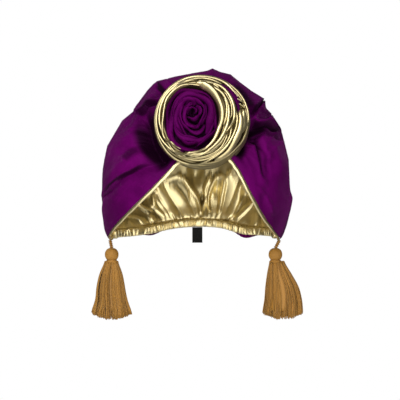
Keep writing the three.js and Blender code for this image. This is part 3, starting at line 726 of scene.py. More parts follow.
def creases(points):
    """How far the creases push the outer cloth out, and how much painted shade lies on it, in the front
    view.
    """
    x, z = seen(points)
    wander_x, wander_z = (noise(x / CREASE_WAVE, z / CREASE_WAVE, seed, 2) for seed in CREASE_SEEDS)
    x, z = x + CREASE_WANDER * wander_x, z + CREASE_WANDER * wander_z
    out, shade = np.zeros(x.shape), np.zeros(x.shape)
    for row in rows(CREASE_COLUMNS, CREASES):
        distance, side, place = beside_curve(x, z, row["line"])
        fade = smooth(0, CREASE_ENDS[0], place) * smooth(0, CREASE_ENDS[1], 1 - place)
        step = smooth(-CREASE_STEP, CREASE_STEP, distance * side)
        outwards = row["rise"] * np.maximum(1 - distance / row["rise_width"], 0) ** CREASE_POWER
        inwards = -row["dip"] * np.maximum(1 - distance / row["dip_width"], 0) ** CREASE_POWER
        out = out + (outwards * step + inwards * (1 - step)) * fade
        near = 1 - smooth(CREASE_SHADE_EDGE, 1.0, distance / (CREASE_SHADE_REACH * row["rise_width"]))
        shade = np.maximum(shade, row["shade"] * near * fade)
    front = 1 - smooth(0, CREASE_DEPTH, points[..., 1])
    return out * front, shade * front


def waves(u, v, form):
    """Unevenness of the cloth between its folds."""
    across = u * form["across"] + v * form["slant"]
    return noise(across, v * form["along"], form["seed"], 2) * form["height"]


def cloth_surface(u, v, detail=1.0):
    """Place across the cloth after its laps, height over the dome with every fold, and its painted shade."""
    height, lap = pleats(u, v)
    edges = from_ends(u, EDGE_FADE)
    gathers = waves(u, v, GATHERS) * (1 - smooth(*GATHERS_OUT, v)) * smooth(*GATHERS_IN, v)
    ruche = small_gathers(u, RUCHE["count"], RUCHE_UNEVEN, v * RUCHE["along"]) * RUCHE["height"]
    ruche = ruche * smooth(*RUCHE["reach"], v)
    folded = gathers + waves(u, v, LONG_FOLDS) * edges + waves(u, v, CRUMPLES) * edges
    height = height + detail * (folded - ruche)
    place = np.clip(u + lap, 0, 1)
    crease, shade = creases(cap_point(place, v, height))
    return place, height + crease * from_ends(u, CREASE_EDGE_FADE), shade


def front_view(points):
    """Angle and radius round the cap's middle as the camera sees them."""
    x, z = seen(points)
    return np.degrees(np.arctan2(z - OUTLINE_MIDDLE, -x)), np.hypot(x, z - OUTLINE_MIDDLE)


def outline_reach(points, blur):
    """How far the points reach at each angle, blurred over a few angles, and how far the outline does."""
    angle, radius = front_view(points)
    per_degree = (OUTLINE_STEPS - 1) / 180
    index = np.clip(np.round(angle * per_degree).astype(int), 0, OUTLINE_STEPS - 1)
    reach = np.ones(OUTLINE_STEPS)
    np.maximum.at(reach, index.ravel(), radius.ravel())
    reach = np.convolve(np.pad(reach, blur // 2, "edge"), np.full(blur, 1 / blur), "valid")
    corners = np.array(OUTLINE, float)
    share = np.linspace(0, len(corners) - 1, OUTLINE_POINTS)
    line = np.stack([np.interp(share, np.arange(len(corners)), corners[:, k]) for k in (0, 1)], -1)
    line = line - (0, OUTLINE_MIDDLE)
    line_angles = np.degrees(np.arctan2(line[:, 1], -line[:, 0]))
    wanted = np.interp(OUTLINE_ANGLES, line_angles, np.hypot(*line.T))
    return reach, wanted


def to_outline(points, reach, wanted):
    """Move the points near the cap's outline so that it follows its corners."""
    angle, radius = front_view(points)
    here, there = (np.interp(angle, OUTLINE_ANGLES, line) for line in (reach, wanted))
    near = smooth(*OUTLINE_NEAR, radius / here)
    near = near * smooth(*OUTLINE_LOW, angle) * smooth(*OUTLINE_LOW, 180 - angle)
    change = ((there / here - 1) * near)[..., None]
    aside = points - (0, 0, OUTLINE_MIDDLE)
    aside[..., 1] = 0
    return points + aside * change


def outer_cloth():
    columns, count = CLOTH_GRID
    along = 1 - (1 - np.linspace(0, 1, count)) ** CLOTH_ROW_CROWDING
    u, v = np.meshgrid(np.linspace(0, 1, columns), along, indexing="ij")
    place, height, painted_shade = cloth_surface(u, v)
    points = cap_point(place, v, height)
    for blur in (3, 1):
        points = to_outline(points, *outline_reach(points, blur))
    sag = sum(deep * ridge(u - middle, half) for middle, half, deep in HEM_SAGS)
    points[..., 2] -= sag * smooth(HEM_FROM, 1, v)
    uvs = np.stack([u, v], -1) * CLOTH_UV_SIZE
    faces = grid_faces(*u.shape)
    return piece("cap_outer_cloth", points, faces, SILK, ["outer_cloth"], uvs, painted_shade)


# Straight steps for each point of a table's curve.
CURVE_STEPS = 8


def beside_curve(x, z, points):
    """Distance from a curve in the front view, the side as a sign, and the place along it."""
    table = [(px, pz, 0) for px, pz in points]
    line = guide_curve(table, np.linspace(0, 1, CURVE_STEPS * len(points)))[:, :2]
    nearest, place, side = (np.full(x.shape, value) for value in (1e9, 0.0, 1.0))
    for k, (start, end) in enumerate(zip(line[:-1], line[1:])):
        step = end - start
        away = np.stack([x - start[0], z - start[1]], -1)
        share = np.clip((away @ step) / (step @ step), 0, 1)
        far = np.hypot(away[..., 0] - share * step[0], away[..., 1] - share * step[1])
        closer = far < nearest
        nearest = np.where(closer, far, nearest)
        place = np.where(closer, (k + share) / (len(line) - 1), place)
        side = np.where(closer, np.sign(step[0] * away[..., 1] - step[1] * away[..., 0]), side)
    return nearest, side, place


def uneven(x, y, form):
    """Seeded unevenness: the size of its waves in x and y, its seed, its octaves and its height."""
    wide, high, seed, octaves, height = form
    return height * noise(x / wide, y / high, seed, octaves)


def lining_folds(x, z, at_back):
    """How far the folds of the back wall stand out of it, before it is crumpled or leans."""
    out = LINING_GROUND + uneven(x, z, LINING_SWELL) * at_back
    for row in rows(LINING_COLUMNS, LINING_FOLDS):
        distance, side, place = beside_curve(x, z, row["crest"])
        start = FOLD_START + (1 - FOLD_START) * smooth(0, FOLD_START_LENGTH, place)
        width = np.where(side > 0, row["right"], row["left"]) * start
        fold = row["out"] * np.maximum(1 - (distance / width) ** FOLD_FLATNESS, 0) ** FOLD_STEEPNESS
        out = np.maximum(fold, out)
    distance, _, _ = beside_curve(x, z, LINING_PIT["line"])
    return out - LINING_PIT["deep"] * ridge(distance, LINING_PIT["half"])


def lining_base():
    """The smooth inner face of the cap on the lining's grid, and how near each column is to an edge."""
    columns, count = LINING_GRID
    t = np.linspace(0, 1, columns)
    across = LINING_INSET + (1 - 2 * LINING_INSET) * (t + LINING_CROWDING * np.sin(2 * np.pi * t))
    along = 1 - (1 - np.linspace(0, LINING_LAST_ROW, count)) ** LINING_ROW_CROWDING
    u, v = np.meshgrid(across, along, indexing="ij")
    _, height, _ = cloth_surface(u, v, 0.0)
    lowest = np.min([np.roll(height, shift, 0) for shift in LINING_NEIGHBOURS], axis=0)
    edges = from_ends(u, LINING_EDGES)
    height = height + (lowest - height) * edges
    return u, v, cap_point(u, v, height - CLOTH - LINING_AIR - LINING_ROOM * edges), edges


def lining():
    u, v, base, edges = lining_base()
    above = base[..., 2] - guide_curve(NAPE_GUIDE, u)[..., 2]
    at_back = smooth(*BACK_WALL, base[..., 1])
    x, z = base[..., 0] + uneven(base[..., 0], base[..., 2], LINING_WANDER), base[..., 2]
    out = lining_folds(x, z, at_back)
    # Painted shade in the low valleys of the back wall.
    painted_shade = VALLEY_SHADE * (1 - smooth(*VALLEY_HEIGHTS, out)) * at_back * smooth(*VALLEY_ABOVE, above)
    form = LINING_CRUMPLE
    slanted = x / form["across"] + z / form["slant"]
    crumple = form["middle"] + form["corners"] * smooth(*form["reach"], np.abs(x))
    crumple = crumple * noise(slanted, z / form["up"], form["seed"], 2)
    for across, up, wide, high, slope in LINING_SLOPES:
        patch = ridge(x - across, wide) * ridge(z - up, high)
        out = out - slope * np.maximum(z - up + high, 0) * patch
    upright = UPRIGHT_SLOPE * np.maximum(above - UPRIGHT_FROM, 0) * (1 - smooth(*UPRIGHT_TO, above))
    upright = upright * at_back
    tight = TIGHT_GATHERS["height"] * small_gathers(u, TIGHT_GATHERS["count"], TIGHT_UNEVEN)
    tight = tight * (1 - smooth(*TIGHT_GATHERS["top"], above))
    out = (out + crumple + tight) * at_back * smooth(*FOLDS_ABOVE, above)
    out = out + BULGE * smooth(*BULGE_FROM, above) * (1 - smooth(*BULGE_TO, above)) * edges
    sideways = nape_inward(u) * (1 - at_back)[..., None] + FACING_FRONT * at_back[..., None]
    points = base + unit(sideways) * out[..., None]
    points[..., 1] -= upright * edges
    points = soften(points, LINING_SOFTENING)
    uvs = np.stack([u, v], -1) * LINING_UV_SIZE
    faces = grid_faces(*u.shape)
    return piece("cap_lining", points, faces, LAME, ["lining"], uvs, painted_shade)


def soften(points, times):
    """Average each inner point of a grid with its neighbours."""
    for _ in range(times):
        inner = points[1:-1, 1:-1]
        around = points[:-2, 1:-1] + points[2:, 1:-1] + points[1:-1, :-2] + points[1:-1, 2:]
        points = points.copy()
        points[1:-1, 1:-1] = 0.5 * inner + 0.125 * around
    return points


# The casing: gathers round the nape, its thickness and half height, and how uneven each is. The waves
# run along the nape, and each has its own seed.
BAND = dict(ends=(0.012, 0.988), columns=721, sides=16, roundness=0.6, inside=5.6, above=4.8)
BAND_GATHERS = dict(count=54, sharpness=0.5, thin=1.7, full=2.2, half_height=4.3, taller=0.5)
BAND_UNEVEN, BAND_PUFF = dict(wave=22, seed=41, height=1.8), dict(wave=50, seed=43, height=0.22)
BAND_TALL = dict(wave=70, seed=47, height=0.3, octaves=1)
BAND_LEAN = dict(wave=30, seed=53, height=2.4, octaves=1)
BAND_CREASE, BAND_CREASE_ROUND = dict(wave=160, seed=59, height=0.35), 1.5


def nape_band():
    """The ruched casing: a flat tube whose cloth is drawn up in small gathers."""
    s = np.linspace(*BAND["ends"], BAND["columns"])
    low, inward = guide_curve(NAPE_GUIDE, s), nape_inward(s)
    along = unit(np.gradient(low, axis=0))
    form = BAND_GATHERS
    gather = small_gathers(s, form["count"], BAND_UNEVEN) ** form["sharpness"]
    angle = np.linspace(0, 2 * np.pi, BAND["sides"], endpoint=False)
    circle = (np.cos(angle), np.sin(angle))
    across, up = (np.sign(part) * np.abs(part) ** BAND["roundness"] for part in circle)
    thick = form["thin"] + form["full"] * gather * (1 + wavy(BAND_PUFF, s))
    tall = form["half_height"] + form["taller"] * gather + wavy(BAND_TALL, s)
    lean = wavy(BAND_LEAN, s)
    out = across * (thick[:, None] + wavy(BAND_CREASE, s[:, None], angle[None] * BAND_CREASE_ROUND))
    points = (low + inward * BAND["inside"] + (0, 0, BAND["above"]))[:, None]
    points = points + inward[:, None] * out[..., None]
    points = points + np.array([0, 0, 1.0]) * (up * tall[:, None])[..., None]
    tubes = Tubes()
    tubes.add(points + along[:, None] * (lean[:, None] * up)[..., None])
    tubes.piece("nape_band", LAME, "gold_lame", ["nape_casing"])


# The rolled front edges: part of the cloth's length, depth in the cloth, width and height at the top,
# by how much both shrink towards the ear, and how uneven they are.
PIPING = dict(ends=(0.1, 0.992), columns=160, sunk=1.4, inside=0.02, half=2.5, half_loss=1.2, outside=0.8)
PIPING_TALL = dict(half=1.5, loss=0.5, roundness=0.9)
PIPING_SWELL, PIPING_WAVE = dict(wave=40, seed=61, height=0.08), dict(wave=25, seed=67, height=0.35)


def front_piping(name, edge, away, node):
    v = np.linspace(*PIPING["ends"], PIPING["columns"])
    u = np.full(v.shape, float(edge))
    height, _ = pleats(u, v)
    here = cap_point(u, v, height - PIPING["sunk"])
    inside = cap_point(u + away * PIPING["inside"], v, height - PIPING["sunk"])
    forward = unit(np.gradient(here, axis=0))
    out = here - inside
    out = unit(out - (out * forward).sum(-1, keepdims=True) * forward)
    share = np.linspace(0, 1, len(v))
    half = (PIPING["half"] - PIPING["half_loss"] * share) * (1 + wavy(PIPING_SWELL, v))
    path = here + out * (PIPING["outside"] * half + wavy(PIPING_WAVE, v))[:, None]
    tall = PIPING_TALL["half"] - PIPING_TALL["loss"] * share
    tubes = Tubes()
    up, roundness = np.cross(forward, out), PIPING_TALL["roundness"]
    tubes.add(tube_sections(path, out, up, half, tall, squareness=roundness))
    tubes.piece(name, LAME, "gold_lame", [node])


# Rosette

# The rosette's axis, which leans back a little, and its upward direction.
OUT = np.array([0, -np.cos(ROSE["lean"]), np.sin(ROSE["lean"])])
UP = np.array([0, np.sin(ROSE["lean"]), np.cos(ROSE["lean"])])


def rose_centre():
    start = unit(np.array([ROSE["x"], -CAP["depth_front"], ROSE["height"]]) - MIDDLE)
    return np.array([ROSE["x"], (start * dome_radius(start))[1], ROSE["height"]])


CENTRE = rose_centre()


def rose_point(right, up, out):
    right, up, out = np.broadcast_arrays(right, up, out)
    return CENTRE + right[..., None] * np.array([1.0, 0, 0]) + up[..., None] * UP + out[..., None] * OUT


# Edges of the gold cloth and of the rolled centre, seen along the rosette's axis: centre and radii.
GOLD_EDGE = (0.0, 0.0, 50.0, 48.6)
HEART_EDGE = (-9.5, -3.1, 28.5, 35.8)
# Height of the gold cloth over the dome, evenly from its outer edge to the rolled centre.
GOLD_HEIGHTS = (6, 13.5, 17.5, 19, 21.5, 25, 27.5, 27, 24)


def edge_distance(edge, right, up):
    """Rough distance outside an edge in mm, negative inside it."""
    x, y, across, high = edge
    return (np.hypot((right - x) / across, (up - y) / high) - 1) * 0.5 * (across + high)


def gold_height(right, up):
    outside = np.maximum(-edge_distance(GOLD_EDGE, right, up), 0)
    inside = np.maximum(edge_distance(HEART_EDGE, right, up), 0)
    share = outside / np.maximum(outside + inside, 0.1)
    return np.interp(share, np.linspace(0, 1, len(GOLD_HEIGHTS)), GOLD_HEIGHTS)


# Folds of the gold cloth round the rosette. Each starts at a clock angle, has a radius at every
# step of that angle, a half width at its start, middle and end, and a lift over the cloth.
FOLD_COLUMNS = ("start", "step", "radii", "halves", "lift")
OUTER_FOLDS = [
    (
        *(-32, 30),
        (44, 48.3, 48.6, 47.7, 47.9, 47.2, 47.1, 48.6, 49.2, 49.4, 47.6, 42, 37.6, 36.8, 36.6),
        (1.0, 1.5, 1.1),
        0.5,
    ),
    (32, 28, (46.2, 46.4, 45.0, 45.9, 46.0, 47.2, 48.0, 46.8, 43.0, 39.3, 36.0), (1.7, 1.3, 1.0), 0.4),
    (60, 30, (43.6, 42.4, 42.7, 44.5, 44.6, 46.5), (1.2, 1.5, 1.0), 0.3),
    (100, 30, (43.4, 44.3, 45.4), (0.5, 0.8, 0.5), 0.6),
    (-24, 13, (43.6, 45, 45.2, 45.4), (1.6, 4.4, 1.6), -0.9),
    (14, 4, (47.6, 44.6, 41.6), (0.7, 1.0, 0.5), 0.2),
    (22, 4, (48.2, 44.8, 42.2), (0.8, 1.1, 0.5), 0.2),
    (286, 22, (48.0, 45.6, 42.6, 41.4, 41.2), (2.2, 4.4, 2.0), -0.6),
    (218, 26, (46.5, 46.8, 45.4, 41.5, 38.8), (0.7, 1.2, 0.7), 0.4),
    (96, 22, (41.5, 41.8, 41.0, 41.4), (0.8, 1.5, 0.8), 0.1),
]
INNER_FOLDS = [
    (64, 29, (25.4, 32.6, 38.6, 40.6, 40.4, 45.0, 41.5), (0.6, 1.2, 0.9), 0.4),
    (72, 14, (29.6, 33.6, 37.4), (0.4, 0.7, 0.4), 0.2),
    (208, 28, (45.8, 46.2, 39.6, 29.4, 22.4, 20.6, 21.2, 23.8, 29.2, 36.0), (0.8, 2.4, 5.2), 0.9),
    (214, 28, (46.8, 46.8, 41.0, 33.4, 28.8, 27.6, 29.1, 31.8, 35.2), (0.8, 1.9, 1.3), 0.6),
    (238, 30, (46.0, 43.2, 38.6, 32.4), (0.7, 1.0, 0.7), 0.5),
    (244, 28, (45.0, 40.6, 35.6, 31.2), (0.8, 2.2, 0.8), -0.3),
    (226, 30, (47.2, 45.4, 41.8, 36.8, 33.0), (0.7, 1.0, 0.8), 0.2),
    (-26, 26, (24.6, 25.4, 28.2, 33.6), (0.8, 1.5, 0.7), 0.3),
    (-34, 31, (31.0, 33.0, 35.8, 38.6, 38.0), (1.0, 2.1, 1.0), 0.5),
    (-4, 28, (30.6, 32.8, 36.2), (0.5, 0.8, 0.5), 0.6),
    (58, 20, (36.4, 38.6, 38.8), (0.8, 1.9, 0.9), -0.4),
]
# The strip of violet cloth between the two wraps.
SLIVER_FOLDS = [
    (8, 14, (39.6, 40.6, 41.2, 42.0, 42.0), (1.0, 2.6, 1.0), -1.0),
    (22, 12, (43.0, 43.4, 43.8), (0.5, 1.0, 0.5), -0.4),
]

# How a fold is swept: points for each step of its clock, sides, how uneven its width and its rise are,
# how thin its tips are, how deep they sink, and its height from its half width.
FOLD_POINTS, FOLD_SIDES, FOLD_UNEVEN_WIDTH, FOLD_UNEVEN_RISE = 14, 14, 0.1, 0.2
FOLD_TIP, FOLD_TIP_FADE, FOLD_SINK, FOLD_SINK_FADE = 0.35, (0, 0.06), 1.6, (0, 0.12)
FOLD_TALL = dict(least=1.1, share=0.28, scale=1.25, sunk=0.35)
# A step towards the rosette's middle, as a share of the radius, that shows which way a fold faces.
TOWARDS_MIDDLE = 0.98
# Painted shade on a fold: towards the rosette's lowest edge, on the lower side of each section, and at most.
FOLD_SHADES = dict(below=0.3, low_side=0.6, most=0.95)
# Painted shade all over the gold folds and the violet strip.
GOLD_PAINTED_SHADE, SLIVER_PAINTED_SHADE = 0.12, 0.5


def low_side(sides):
    """1 on the lower side of a fold's section and 0 on its crest: a mask for painted shade."""
    return smooth(0.5, -0.2, np.sin(np.linspace(0, 2 * np.pi, sides, endpoint=False)))


def shade_below_middle(up):
    """1 at the rosette's lowest edge and 0 from a little below its middle: a mask for painted shade on the
    lower part.
    """
    return smooth(0.3, 1.0, -up / GOLD_EDGE[3])


def add_fold(tubes, row, seed, painted_shade):
    """One fold as a swept half-round that follows the rosette's swell."""
    radii = np.array(row["radii"], float)
    clock = np.radians(row["start"] + row["step"] * np.arange(len(radii)))
    knots = np.stack([radii * np.cos(clock), radii * np.sin(clock), 0 * radii], -1)
    count = FOLD_POINTS * (len(radii) - 1)
    share = np.linspace(0, 1, count)
    right, up, _ = np.moveaxis(guide_curve(knots, share), -1, 0)
    swell, rise = (noise(share * count / FOLD_POINTS, 0 * share, seed + k, 2) for k in (0, 9))
    half = np.interp(share, (0, 0.5, 1), row["halves"]) * (1 + FOLD_UNEVEN_WIDTH * swell)
    half = half * (FOLD_TIP + (1 - FOLD_TIP) * from_ends(share, FOLD_TIP_FADE))
    path = rose_point(right, up, gold_height(right, up))
    inner_right, inner_up = right * TOWARDS_MIDDLE, up * TOWARDS_MIDDLE
    aside = rose_point(inner_right, inner_up, gold_height(inner_right, inner_up)) - path
    forward = unit(np.gradient(path, axis=0))
    across = unit(aside - (aside * forward).sum(-1, keepdims=True) * forward)
    normal = np.cross(across, forward)
    normal = normal * np.sign((normal * OUT).sum(-1, keepdims=True))
    high = np.minimum(half, FOLD_TALL["least"] + FOLD_TALL["share"] * half) * FOLD_TALL["scale"]
    lift = row["lift"] - FOLD_TALL["sunk"] * high - FOLD_SINK * (1 - from_ends(share, FOLD_SINK_FADE))
    path = path + normal * (lift + FOLD_UNEVEN_RISE * rise)[:, None]
    sections = tube_sections(path, across, normal, half, high, FOLD_SIDES)
    shade = painted_shade + FOLD_SHADES["below"] * shade_below_middle(up)[:, None]
    shade = shade + FOLD_SHADES["low_side"] * low_side(FOLD_SIDES)
    tubes.add(sections, shade=np.minimum(shade, FOLD_SHADES["most"]))


def folds(name, table, material, slot, node, seed, painted_shade):
    tubes = Tubes()
    for index, row in enumerate(rows(FOLD_COLUMNS, table)):
        add_fold(tubes, row, seed + 20 * index, painted_shade)
    tubes.piece(name, material, slot, [node] if node else ())


# The cloth under the folds: how far inside the gold's edge it begins and below the folds it lies, how
# deep it goes below the rolled centre and down the rosette's side, and its painted shade.
GROUND = dict(inset=3, below=3.6, centre=9, blend=3, side=16, side_share=0.08, painted_shade=0.75)


def disc_grid(columns, count):
    """Angles round a disc and shares of its radius."""
    return np.meshgrid(np.linspace(0, 2 * np.pi, columns), np.linspace(0, 1, count), indexing="ij")


def rose_disc(name, right, up, height, material, painted_shade):
    """A disc of cloth below the folds, with the same painted shade all over."""
    uvs = np.stack([right, up], -1) / 1000
    shade = np.full(right.shape, painted_shade)
    piece(name, rose_point(right, up, height), grid_faces(*right.shape), material, (), uvs, shade)


def rose_ground():
    """The cloth under the folds, from the rosette's edge to below the rolled centre."""
    angle, share = disc_grid(145, 30)
    across, high = GOLD_EDGE[2] - GROUND["inset"], GOLD_EDGE[3] - GROUND["inset"]
    right = across * (1 - share) * np.cos(angle) + HEART_EDGE[0] * share
    up = high * (1 - share) * np.sin(angle) + HEART_EDGE[1] * share
    inside = smooth(-GROUND["blend"], GROUND["blend"], edge_distance(HEART_EDGE, right, up))
    height = (gold_height(right, up) - GROUND["below"]) * inside + GROUND["centre"] * (1 - inside)
    height = height - GROUND["side"] * (1 - smooth(0, GROUND["side_share"], share))
    rose_disc("rose_ground", right, up, height, LAME, GROUND["painted_shade"])


# Rings of gold cloth down the rosette's side: place outside the gold's edge, height over the dome,
# and half width and half height of the ring.
SIDE_COLUMNS = ("outside", "height", "half", "tall")
SIDE_RINGS = [
    (-2.4, 6.0, 1.9, 2.6),
    (-2.0, 1.8, 2.1, 2.8),
    (-2.6, -2.8, 2.3, 3.0),
    (-2.2, -7.4, 2.4, 3.2),
    (-3.0, -12.2, 2.6, 3.4),
]
# How the rings rise and swell round the rosette: size of the waves, seed and height.
SIDE_RISE, SIDE_SWELL = dict(wave=1.6, seed=501, height=2.4), dict(wave=4, seed=511, height=0.7)
# Points round a ring, roundness of its section, and painted shade all round it and more on its lower side.
SIDE_POINTS, SIDE_ROUNDNESS, SIDE_SHADES = 240, 0.9, dict(all_round=0.45, low_side=0.3)


def ring_noise(clock, wave, offset, seed):
    """Noise that meets itself after one turn."""
    return noise(wave * np.cos(clock), wave * np.sin(clock) + offset, seed, 2)


def rose_side():
    """The wound cloth seen from the side, ring over ring."""
    clock = np.linspace(0, 2 * np.pi, SIDE_POINTS, endpoint=False)
    tubes = Tubes()
    for index, row in enumerate(rows(SIDE_COLUMNS, SIDE_RINGS)):
        rise, swell = (
            form["height"] * ring_noise(clock, form["wave"], 7 * index, form["seed"])
            for form in (SIDE_RISE, SIDE_SWELL)
        )
        right = (GOLD_EDGE[2] + row["outside"] + swell) * np.cos(clock)
        up = (GOLD_EDGE[3] + row["outside"] + swell) * np.sin(clock)
        path = rose_point(right, up, row["height"] + rise)
        forward = unit(np.roll(path, -1, 0) - np.roll(path, 1, 0))
        outwards = unit(np.cross(forward, OUT))
        normal = np.cross(outwards, forward)
        half, tall = row["half"], row["tall"]
        sections = tube_sections(path, outwards, normal, half, tall, FOLD_SIDES, SIDE_ROUNDNESS)
        shade = SIDE_SHADES["all_round"] + FOLD_SHADES["below"] * shade_below_middle(up)[:, None]
        shade = shade + SIDE_SHADES["low_side"] * low_side(FOLD_SIDES)
        tubes.add(sections, closed=True, shade=np.minimum(shade, FOLD_SHADES["most"]))
    tubes.piece("rose_side_folds", LAME, "gold_lame")


# Rolled edges of the centre. Each starts at a clock angle and turns clockwise round a middle that
# moves from the heart's own middle to the eye: turn, size at its start and end, half width, height.
ROLL_COLUMNS = ("start", "turn", "size", "end", "half", "top")
ROLLS = [
    (250, 300, 0.97, 0.91, 1.6, 20.0),
    (215, 230, 0.87, 0.83, 1.4, 21.0),
    (330, 240, 0.93, 0.76, 2.6, 19.0),
    (160, 200, 0.78, 0.70, 3.2, 22.0),
    (20, 200, 0.80, 0.64, 2.6, 20.5),
    (-60, 190, 0.69, 0.57, 1.4, 21.5),
    (235, 170, 0.64, 0.50, 2.2, 22.5),
    (-30, 210, 0.54, 0.45, 2.0, 21.0),
    (130, 200, 0.47, 0.38, 1.6, 22.5),
    (300, 220, 0.38, 0.28, 1.8, 21.5),
    (60, 210, 0.28, 0.18, 1.4, 22.5),
    (200, 240, 0.17, 0.07, 1.0, 21.0),
    (110, 80, 0.86, 0.78, 0.8, 21.5),
    (185, 70, 0.72, 0.64, 0.8, 23.0),
    (265, 90, 0.60, 0.50, 0.8, 23.0),
    (350, 75, 0.88, 0.79, 0.8, 20.5),
    (40, 80, 0.52, 0.43, 0.7, 23.0),
    (160, 70, 0.33, 0.26, 0.7, 23.0),
    (290, 80, 0.80, 0.71, 0.7, 21.5),
    (220, 60, 0.98, 0.88, 0.7, 20.8),
]
EYE = (-9.5, 9.5)
# How a roll is swept: degrees for each of its points, sides, roundness, depth of its section, how its
# corners, rise and width vary, how far its face is turned to either side, and its painted shade all
# round and on its lower side.
ROLL_STEP, ROLL_LEAST, ROLL_SIDES, ROLL_ROUNDNESS, ROLL_DEEP = 3.2, 24, 18, 0.85, 4.5
ROLL_CORNERS = dict(wave=0.9, seed=71, height=0.12, square=0.05, turn=0.25)
ROLL_RISE, ROLL_SINK, ROLL_ENDS = dict(wave=1.2, seed=73, height=2.2), 6, (0, 0.16)
ROLL_WIDTH, ROLL_FINE = dict(wave=1.5, seed=77, height=0.5), dict(wave=0.8, along=6, seed=79, height=0.16)
ROLL_FACING, ROLL_TOWARD_EYE, ROLL_SHADES = 0.35, 1.1, dict(all_round=0.3, low_side=0.7)


def rose_heart():
    """The rolled centre: overlapping folded edges round an eye above the middle."""
    tubes = Tubes()
    for index, row in enumerate(rows(ROLL_COLUMNS, ROLLS)):
        count = max(ROLL_LEAST, int(row["turn"] / ROLL_STEP))
        share = np.linspace(0, 1, count)
        clock = np.radians(row["start"] - row["turn"] * share)
        size = row["size"] + (row["end"] - row["size"]) * share
        square = ROLL_CORNERS["square"] * np.cos(4 * clock + ROLL_CORNERS["turn"] * index)
        corner = 1 + wavy(ROLL_CORNERS, clock, 3 * index) - square
        toward = (1 - row["size"]) ** ROLL_TOWARD_EYE
        middle = [HEART_EDGE[k] * (1 - toward) + EYE[k] * toward for k in (0, 1)]
        right = middle[0] + HEART_EDGE[2] * size * corner * np.cos(clock)
        up = middle[1] + HEART_EDGE[3] * size * corner * np.sin(clock)
        top = row["top"] - ROLL_SINK * (1 - from_ends(share, ROLL_ENDS)) + wavy(ROLL_RISE, clock, index)
        half = row["half"] * (1 + wavy(ROLL_WIDTH, clock, 5 * index))
        path = rose_point(right, up, top - ROLL_DEEP)
        forward = unit(np.gradient(path, axis=0))
        across = unit(np.cross(forward, OUT))
        turned = ROLL_FACING * across * np.sin(clock * 2 + index)[:, None]
        facing = unit(np.broadcast_to(OUT, across.shape) + turned)
        sections = tube_sections(path, across, facing, half, ROLL_DEEP, ROLL_SIDES, ROLL_ROUNDNESS)
        form = dict(ROLL_FINE, seed=ROLL_FINE["seed"] + index)
        fine = wavy(form, np.arange(ROLL_SIDES)[None], share[:, None] * count / form["along"])
        shade = ROLL_SHADES["all_round"] + ROLL_SHADES["low_side"] * low_side(ROLL_SIDES)
        tubes.add(sections + np.broadcast_to(OUT, (ROLL_SIDES, 3)) * fine[..., None], shade=shade)
    tubes.piece("rose_heart", SILK, "violet_silk", ["rose_centre"])


# The silk below the rolls: half width and half height, height in the middle, fall to the rim, and
# unevenness.
HEART_GROUND = dict(across=30.0, high=36.0, middle=12.5, fall=1.5, along=4, wave=5, seed=79, height=2.0)


def heart_ground():
    """Folds of silk below the rolls, fully in painted shade."""
    form = HEART_GROUND
    angle, share = disc_grid(97, 20)
    right = HEART_EDGE[0] + form["across"] * share * np.cos(angle)
    up = HEART_EDGE[1] + form["high"] * share * np.sin(angle)
    height = form["middle"] - form["fall"] * share + wavy(form, angle, share * form["along"])
    rose_disc("heart_ground", right, up, height, SILK, 1.0)


# Tassels

# Where each tassel hangs, how far it swings aside, its seed, and for its skirt the half width and the
# lean aside, evenly from the neck to the ends of the threads.
TASSELS = {
    "left": dict(
        **dict(x=-94.8, y=-6.0, swing=1.8, seed=101),
        rows=[(7.2, 0), (13.4, -0.5), (16.2, -0.7), (18, 0.4), (23.4, 0.9)],
    ),
    "right": dict(
        **dict(x=91.0, y=-6.0, swing=-4.4, seed=202),
        rows=[(7.8, 1.2), (13.8, 4), (18.8, 7), (21, 8.3), (22.6, 7.6)],
    ),
}
LOOP_LENGTH, HEAD_HEIGHT, HEAD_RADIUS, SKIRT_LENGTH, DEPTH_SHARE = 9.6, 14.6, 7.4, 62.5, 0.8
NECK = -LOOP_LENGTH - HEAD_HEIGHT - 0.4
# The two plies of a loop: points, turns, distance from the middle, half width, sides, first and last
# height.
TWIST = dict(points=60, turns=2.2, apart=1.0, half=1.15, sides=10, top=-1.0, bottom=-0.2 - LOOP_LENGTH)
# The ball: part of its height that is modelled, fullness, and its upright threads.
BALL = dict(ends=(0.02, 0.98), fullness=0.8, threads=44, thread_height=0.16, around=2)
BALL_WANDER = dict(wave=3, seed=83, height=1.2, octaves=1)
# The binding under the ball: rings, points, and radius, height and step of both from ring to ring.
BINDING = dict(rings=3, points=60, radius=5.3, wider=0.5, height=1.4, lower=0.9)
BINDING_THREAD = dict(half_width=0.6, half_height=0.55, sides=8)
# Threads of a skirt: points, number, locks, radius and sides.
STRANDS = dict(points=13, count=760, locks=46, half=0.5, sides=3, inside=0.5, above=0.6)
# How the threads vary: the depth of locks and of threads in them, and the spread of turn, bend and
# length. Then how each thread waves outwards and round, and by how much the outer threads are shorter.
LOCK_DEPTHS, THREAD_DEPTHS = (0.35, 1), (0.2, 1.0)
THREAD_SPREAD = dict(turn=0.1, depth=0.06, curl=0.6, length=0.012)
THREAD_WAVES = dict(out=0.5, out_turns=3.5, lock=0.07, thread=0.03, thread_turns=5, phases=6.28)
SHORTER, THREAD_TILT = 5.5, 0.1
# The core that keeps a skirt from being seen through: share of its width, sides and length left out.
CORE = dict(share=0.72, sides=24, shorter=9)


